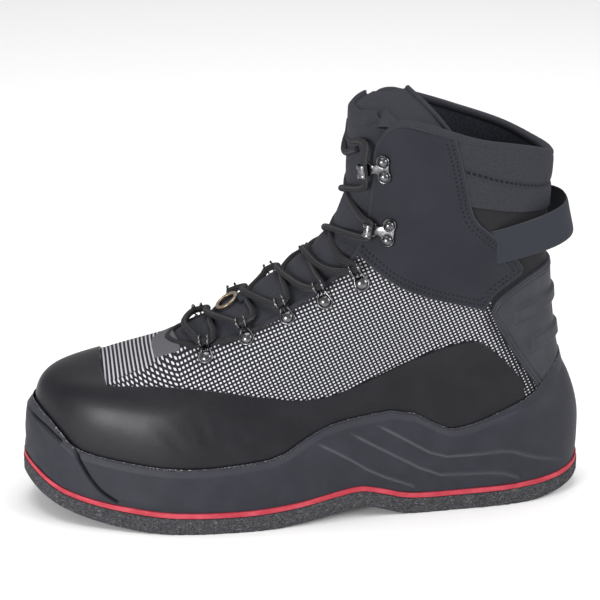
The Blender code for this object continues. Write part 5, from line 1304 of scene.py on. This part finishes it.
def gathered(parts):
    """One set of points and faces from several."""
    points, faces, start = [], [], 0
    for some, some_faces in parts:
        some = np.asarray(some, float).reshape(-1, 3)
        points.append(some)
        faces += [tuple(int(k) + start for k in face) for face in some_faces]
        start += len(some)
    return np.concatenate(points), faces


def wire_part(path, radius, sides=10, rounds=2, step=0.45):
    rings, _, _ = tube(resampled(smoothed(path, rounds), step), radius, sides)
    return rings, tube_faces(len(rings), sides)


def eye(x, start, turns):
    angles = np.radians(np.linspace(start, start + turns, 12))
    return [
        (x * (1 + EYE_TILT * np.sin(a)), EYE_Y + EYE_R * np.cos(a), EYE_Z + EYE_R * np.sin(a)) for a in angles
    ]


round_rivet = [
    (LOOP_R * np.sin(a), -LOOP_R * np.cos(a), WIRE + 0.25) for a in np.radians(np.linspace(-80, 80, 11))
]
wire = [
    *eye(-EYE_X, 20, 235), (-EYE_X - 0.6, 4.6, 1.0), *round_rivet, (EYE_X + 0.6, 4.6, 1.0),
    *eye(EYE_X, 255, -235),
]
neck = [(0.0, 2.5, 0.5), (0.0, 6.8, 0.6)]
ring_parts = [
    wire_part(wire, WIRE), domed(RIVET_R, RIVET_H, (0.0, 0.0, 0.35), 0.1), wire_part(neck, 0.55, 8, 0)
]


def plate_part(profile, widths, thick, middle=0.0):
    """A bent plate with rounded edges: its side view, half its width at each point, half its thickness."""
    profile = np.asarray(profile, float)
    ahead = unit(np.gradient(profile, axis=0))
    normal = np.stack([-ahead[:, 1], ahead[:, 0]], -1)
    angle = circle(16)
    rings = []
    for (y, z), (ny, nz), width in zip(profile, normal, widths):
        off = thick * np.sin(angle)
        x = middle + width * flattened(np.cos(angle), 0.25)
        rings.append(np.stack([x, y + ny * off, z + nz * off], -1))
    return np.array(rings), tube_faces(len(rings), 16)


PLATE_UP, RAIL_APART, RAIL_HALF = 0.9, 2.7, 1.15
bends = np.radians(np.linspace(0, 205, 26))
curl = [(EYE_Y + 0.4 + HOOK_R * np.sin(a), PLATE_UP + HOOK_R * (1 - np.cos(a))) for a in bends]
plate_y = np.linspace(-4.6, 7.4, 25)
plate_half = np.interp(plate_y, (-4.6, -1.2, 2.2, 4.4, 7.4), (3.2, 5.6, 3.4, 2.4, 3.0))
rail = [(6.0, PLATE_UP), (7.5, PLATE_UP), *curl]
hook_parts = [plate_part([(y, PLATE_UP) for y in plate_y], plate_half, 0.5)]
hook_parts += [
    plate_part(rail, np.full(len(rail), RAIL_HALF), 0.62, middle) for middle in (-RAIL_APART, RAIL_APART)
]
hook_parts += [plate_part(curl[-9:], np.full(9, 3.6), 0.62), plate_part(rail[:5], np.full(5, 3.6), 0.55)]
hook_parts += [domed(RIVET_R - 0.55, RIVET_H, (x, -1.4, PLATE_UP), 0.75) for x in (-4.3, 4.3)]

nickel = Finish("dark_nickel", (0.34, 0.34, 0.35), 0.24, Metallic=1.0)
tarnish = nickel.noise(2.5, 4.0)
nickel.feed(
    "Base Color", nickel.blend(nickel.step(tarnish, 0.3, 0.75), (0.17, 0.17, 0.175), (0.085, 0.085, 0.09))
)
nickel.feed("Roughness", 0.14 + nickel.noise(1.0) * 0.14)


def placed(name, parts, point, axes, finish, slot, node):
    points, faces = gathered(parts)
    world_points = point + points @ np.array(axes)
    return piece(name, world_points, faces, finish, slot, [node], crease=55)


seats = []
for kind, places, parts, lift, back_turn in (
    ("ring", RINGS, ring_parts, 0.0, 0.0), ("hook", HOOKS, hook_parts, 2 * FIT + OVERLAY, HOOKS_BACK)
):
    for number, (base_place, towards) in enumerate(places, 1):
        for side_name in ("outer", "inner"):
            ends = [base_place, towards]
            if side_name == "inner":
                ends = [(1.0 - t + back_turn, v) for t, v in ends]
            point, across_axis, up_axis, out_axis = seat(*ends)
            point = point + out_axis * lift
            placed(
                f"{kind}_{side_name}_{number}", parts, point, (
                    across_axis, up_axis, out_axis
                ), nickel, "dark_nickel",
                f"lace_{kind}_{side_name}_{number}",
            )
            seats.append((side_name, kind == "hook", point, across_axis, up_axis, out_axis))

# Lace: one round braided cord, from the top hook of one side down through every eye, over the bar at the
# throat's base and up the other side. Both ends are tucked in behind the top hooks.
LACE_D = 3.8
CROSS_LOW, CROSS_HIGH = -0.6, 3.0
EYE_HOLD, HOOK_HOLD, EYE_LEAD, HOOK_LEAD, HOOK_Y, HOOK_Z = 1.5, 2.6, 3.0, 4.6, 9.0, 4.3
EDGE_SHARE, RING_EDGE_DROP, HOOK_EDGE_DROP = 0.35, 0.08, 0.18
RING_EDGE, RING_EDGE_OUT, HOOK_EDGE, HOOK_EDGE_OUT = 0.78, 1.9, 0.92, 3.9
BAR_V, BAR_OUT_LACE, END_TURN, END_V = 4.23, 3.0, 0.060, 7.75


def edge_point(side_name, v, hook):
    """Where a crossing strand passes the throat's edge."""
    half = throat_half(v) * (HOOK_EDGE if hook else RING_EDGE)
    return shell(0.5 + (half if side_name == "inner" else -half), v, HOOK_EDGE_OUT if hook else RING_EDGE_OUT)


stops = {"outer": [], "inner": []}
for side_name, hook, point, across_axis, up_axis, out_axis in seats:
    y, z = (HOOK_Y, HOOK_Z) if hook else (EYE_Y, EYE_Z)
    middle = point + up_axis * y + out_axis * z
    onward = across_axis if across_axis[2] > 0 else -across_axis
    hold, lead = (HOOK_HOLD, HOOK_LEAD) if hook else (EYE_HOLD, EYE_LEAD)
    stops[side_name].append([middle + onward * reach for reach in (-lead, -hold, hold, lead)])
levels = [towards[1] for _, towards in (*RINGS, *HOOKS)]
routes = []
for first in ("outer", "inner"):
    side_name, path = first, []
    for k in range(len(levels)):
        path += stops[side_name][k]
        over_tongue = CROSS_HIGH if side_name == "inner" else CROSS_LOW
        if k + 1 < len(levels):
            path.append(
                edge_point(side_name, levels[k] + (CROSSINGS[k] - levels[k]) * EDGE_SHARE, k >= len(RINGS))
            )
            path.append(shell(0.5, CROSSINGS[k], over_tongue))
            side_name = "inner" if side_name == "outer" else "outer"
            hook = k + 1 >= len(RINGS)
            path.append(
                edge_point(side_name, levels[k + 1] - (HOOK_EDGE_DROP if hook else RING_EDGE_DROP), hook)
            )
    path.append(edge_point(side_name, END_V, True))
    v = END_V - (0.12 if side_name == "inner" else 0.0)
    path.append(shell(0.5, v - 0.12, over_tongue))
    path.append(shell(0.5 - END_TURN if side_name == "inner" else 0.5 + END_TURN, v, CROSS_LOW + 0.6))
    routes.append(path)
bar = [shell(0.5 + t, BAR_V, BAR_OUT_LACE) for t in (-0.035, 0.0, 0.035)]
lace_path = resampled(smoothed([*routes[0][::-1], *bar, *routes[1]], 3), 0.7)
lace_rings, lace_run, lace_round = tube(lace_path, LACE_D / 2, 16)
cord = Finish("lace_cord", (0.030, 0.030, 0.034), 0.8, Specular_IOR_Level=0.3)
strand = (cord.value("round") * 9.0 + cord.value("run") / 3.2).wave()
cross = (cord.value("round") * 9.0 - cord.value("run") / 3.2).wave()
stripe = cord.step((cord.value("round") * 3.0).wave(), 0.55, 0.9)
base = cord.blend(strand * cross, (0.010, 0.010, 0.012), (0.028, 0.028, 0.031))
cord.feed("Base Color", cord.blend(stripe * 0.5, base, (0.060, 0.060, 0.063)))
cord.relief((strand * 0.5 + cross * 0.5, 0.35), (cord.noise(0.5), 0.08))
piece(
    "lace_braid", lace_rings, tube_faces(len(lace_rings), 16), cord, "lace_cord", ["lace"], run=lace_run,
    round=lace_round,
)

# Gaiter ring: a flat bronze ring on the tongue, held by a short ribbed webbing tab that is sewn down. A hook
# on a gaiter or on waders clips into it.
TAB_HALF, TAB_LOW_V, TAB_HIGH_V, TAB_THICK = 0.019, 5.00, 5.12, 0.7
RING_V, RING_TURN = 4.85, 0.510
RING_HALF_WIDE, RING_HALF_LONG, RING_WIRE = 8.6, 6.4, 1.0

f, g = np.linspace(-1.0, 1.0, 22)[:, None], np.linspace(0.0, 1.0, 22)[None, :]
tab_at = np.stack([0.5 + TAB_HALF * f + 0 * g, TAB_LOW_V + (TAB_HIGH_V - TAB_LOW_V) * g + 0 * f], -1)
tab_low = TONGUE_MIDDLE_OFF + TONGUE_SWELL + FIT
tab_points, _ = patch(tab_at, tab_low + TAB_THICK, tab_low, 0.4)
tab_across = np.pad(22.0 * f + 0 * g, 1, mode="edge")
grid_piece(
    "gaiter_tab", tab_points, webbing, "webbing", ["ring_tab"],
    across=tab_across * 0.3, run=np.pad(30.0 * g + 0 * f, 1, mode="edge"),
)

ring_point, ring_across, ring_up, ring_out = seat((RING_TURN, RING_V), (RING_TURN, RING_V + 0.2))
ring_middle = ring_point + ring_out * (tab_low + RING_WIRE)
sideways, lengthways = np.cos(circle(96))[:, None] * ring_across, np.sin(circle(96))[:, None] * ring_up
loop = ring_middle + RING_HALF_WIDE * sideways + RING_HALF_LONG * lengthways
outward, section = sideways + lengthways, circle(12)
ring_points = loop[:, None] + RING_WIRE * (
    outward[:, None] * (1.25 * np.cos(section))[None, :, None] + ring_out * np.sin(section)[None, :, None]
)
bronze = Finish("bronze_metal", (0.32, 0.25, 0.18), 0.42, Metallic=1.0)
bronze.feed("Base Color", bronze.mottled(bronze.noise(3.0), (0.36, 0.29, 0.22), (0.22, 0.17, 0.13)))
bronze.feed("Roughness", 0.36 + bronze.noise(1.2) * 0.2)
grid_piece(
    "gaiter_ring", ring_points, bronze, "bronze_metal", ["gravel_ring"], wrap_rows=True, wrap_columns=True
)
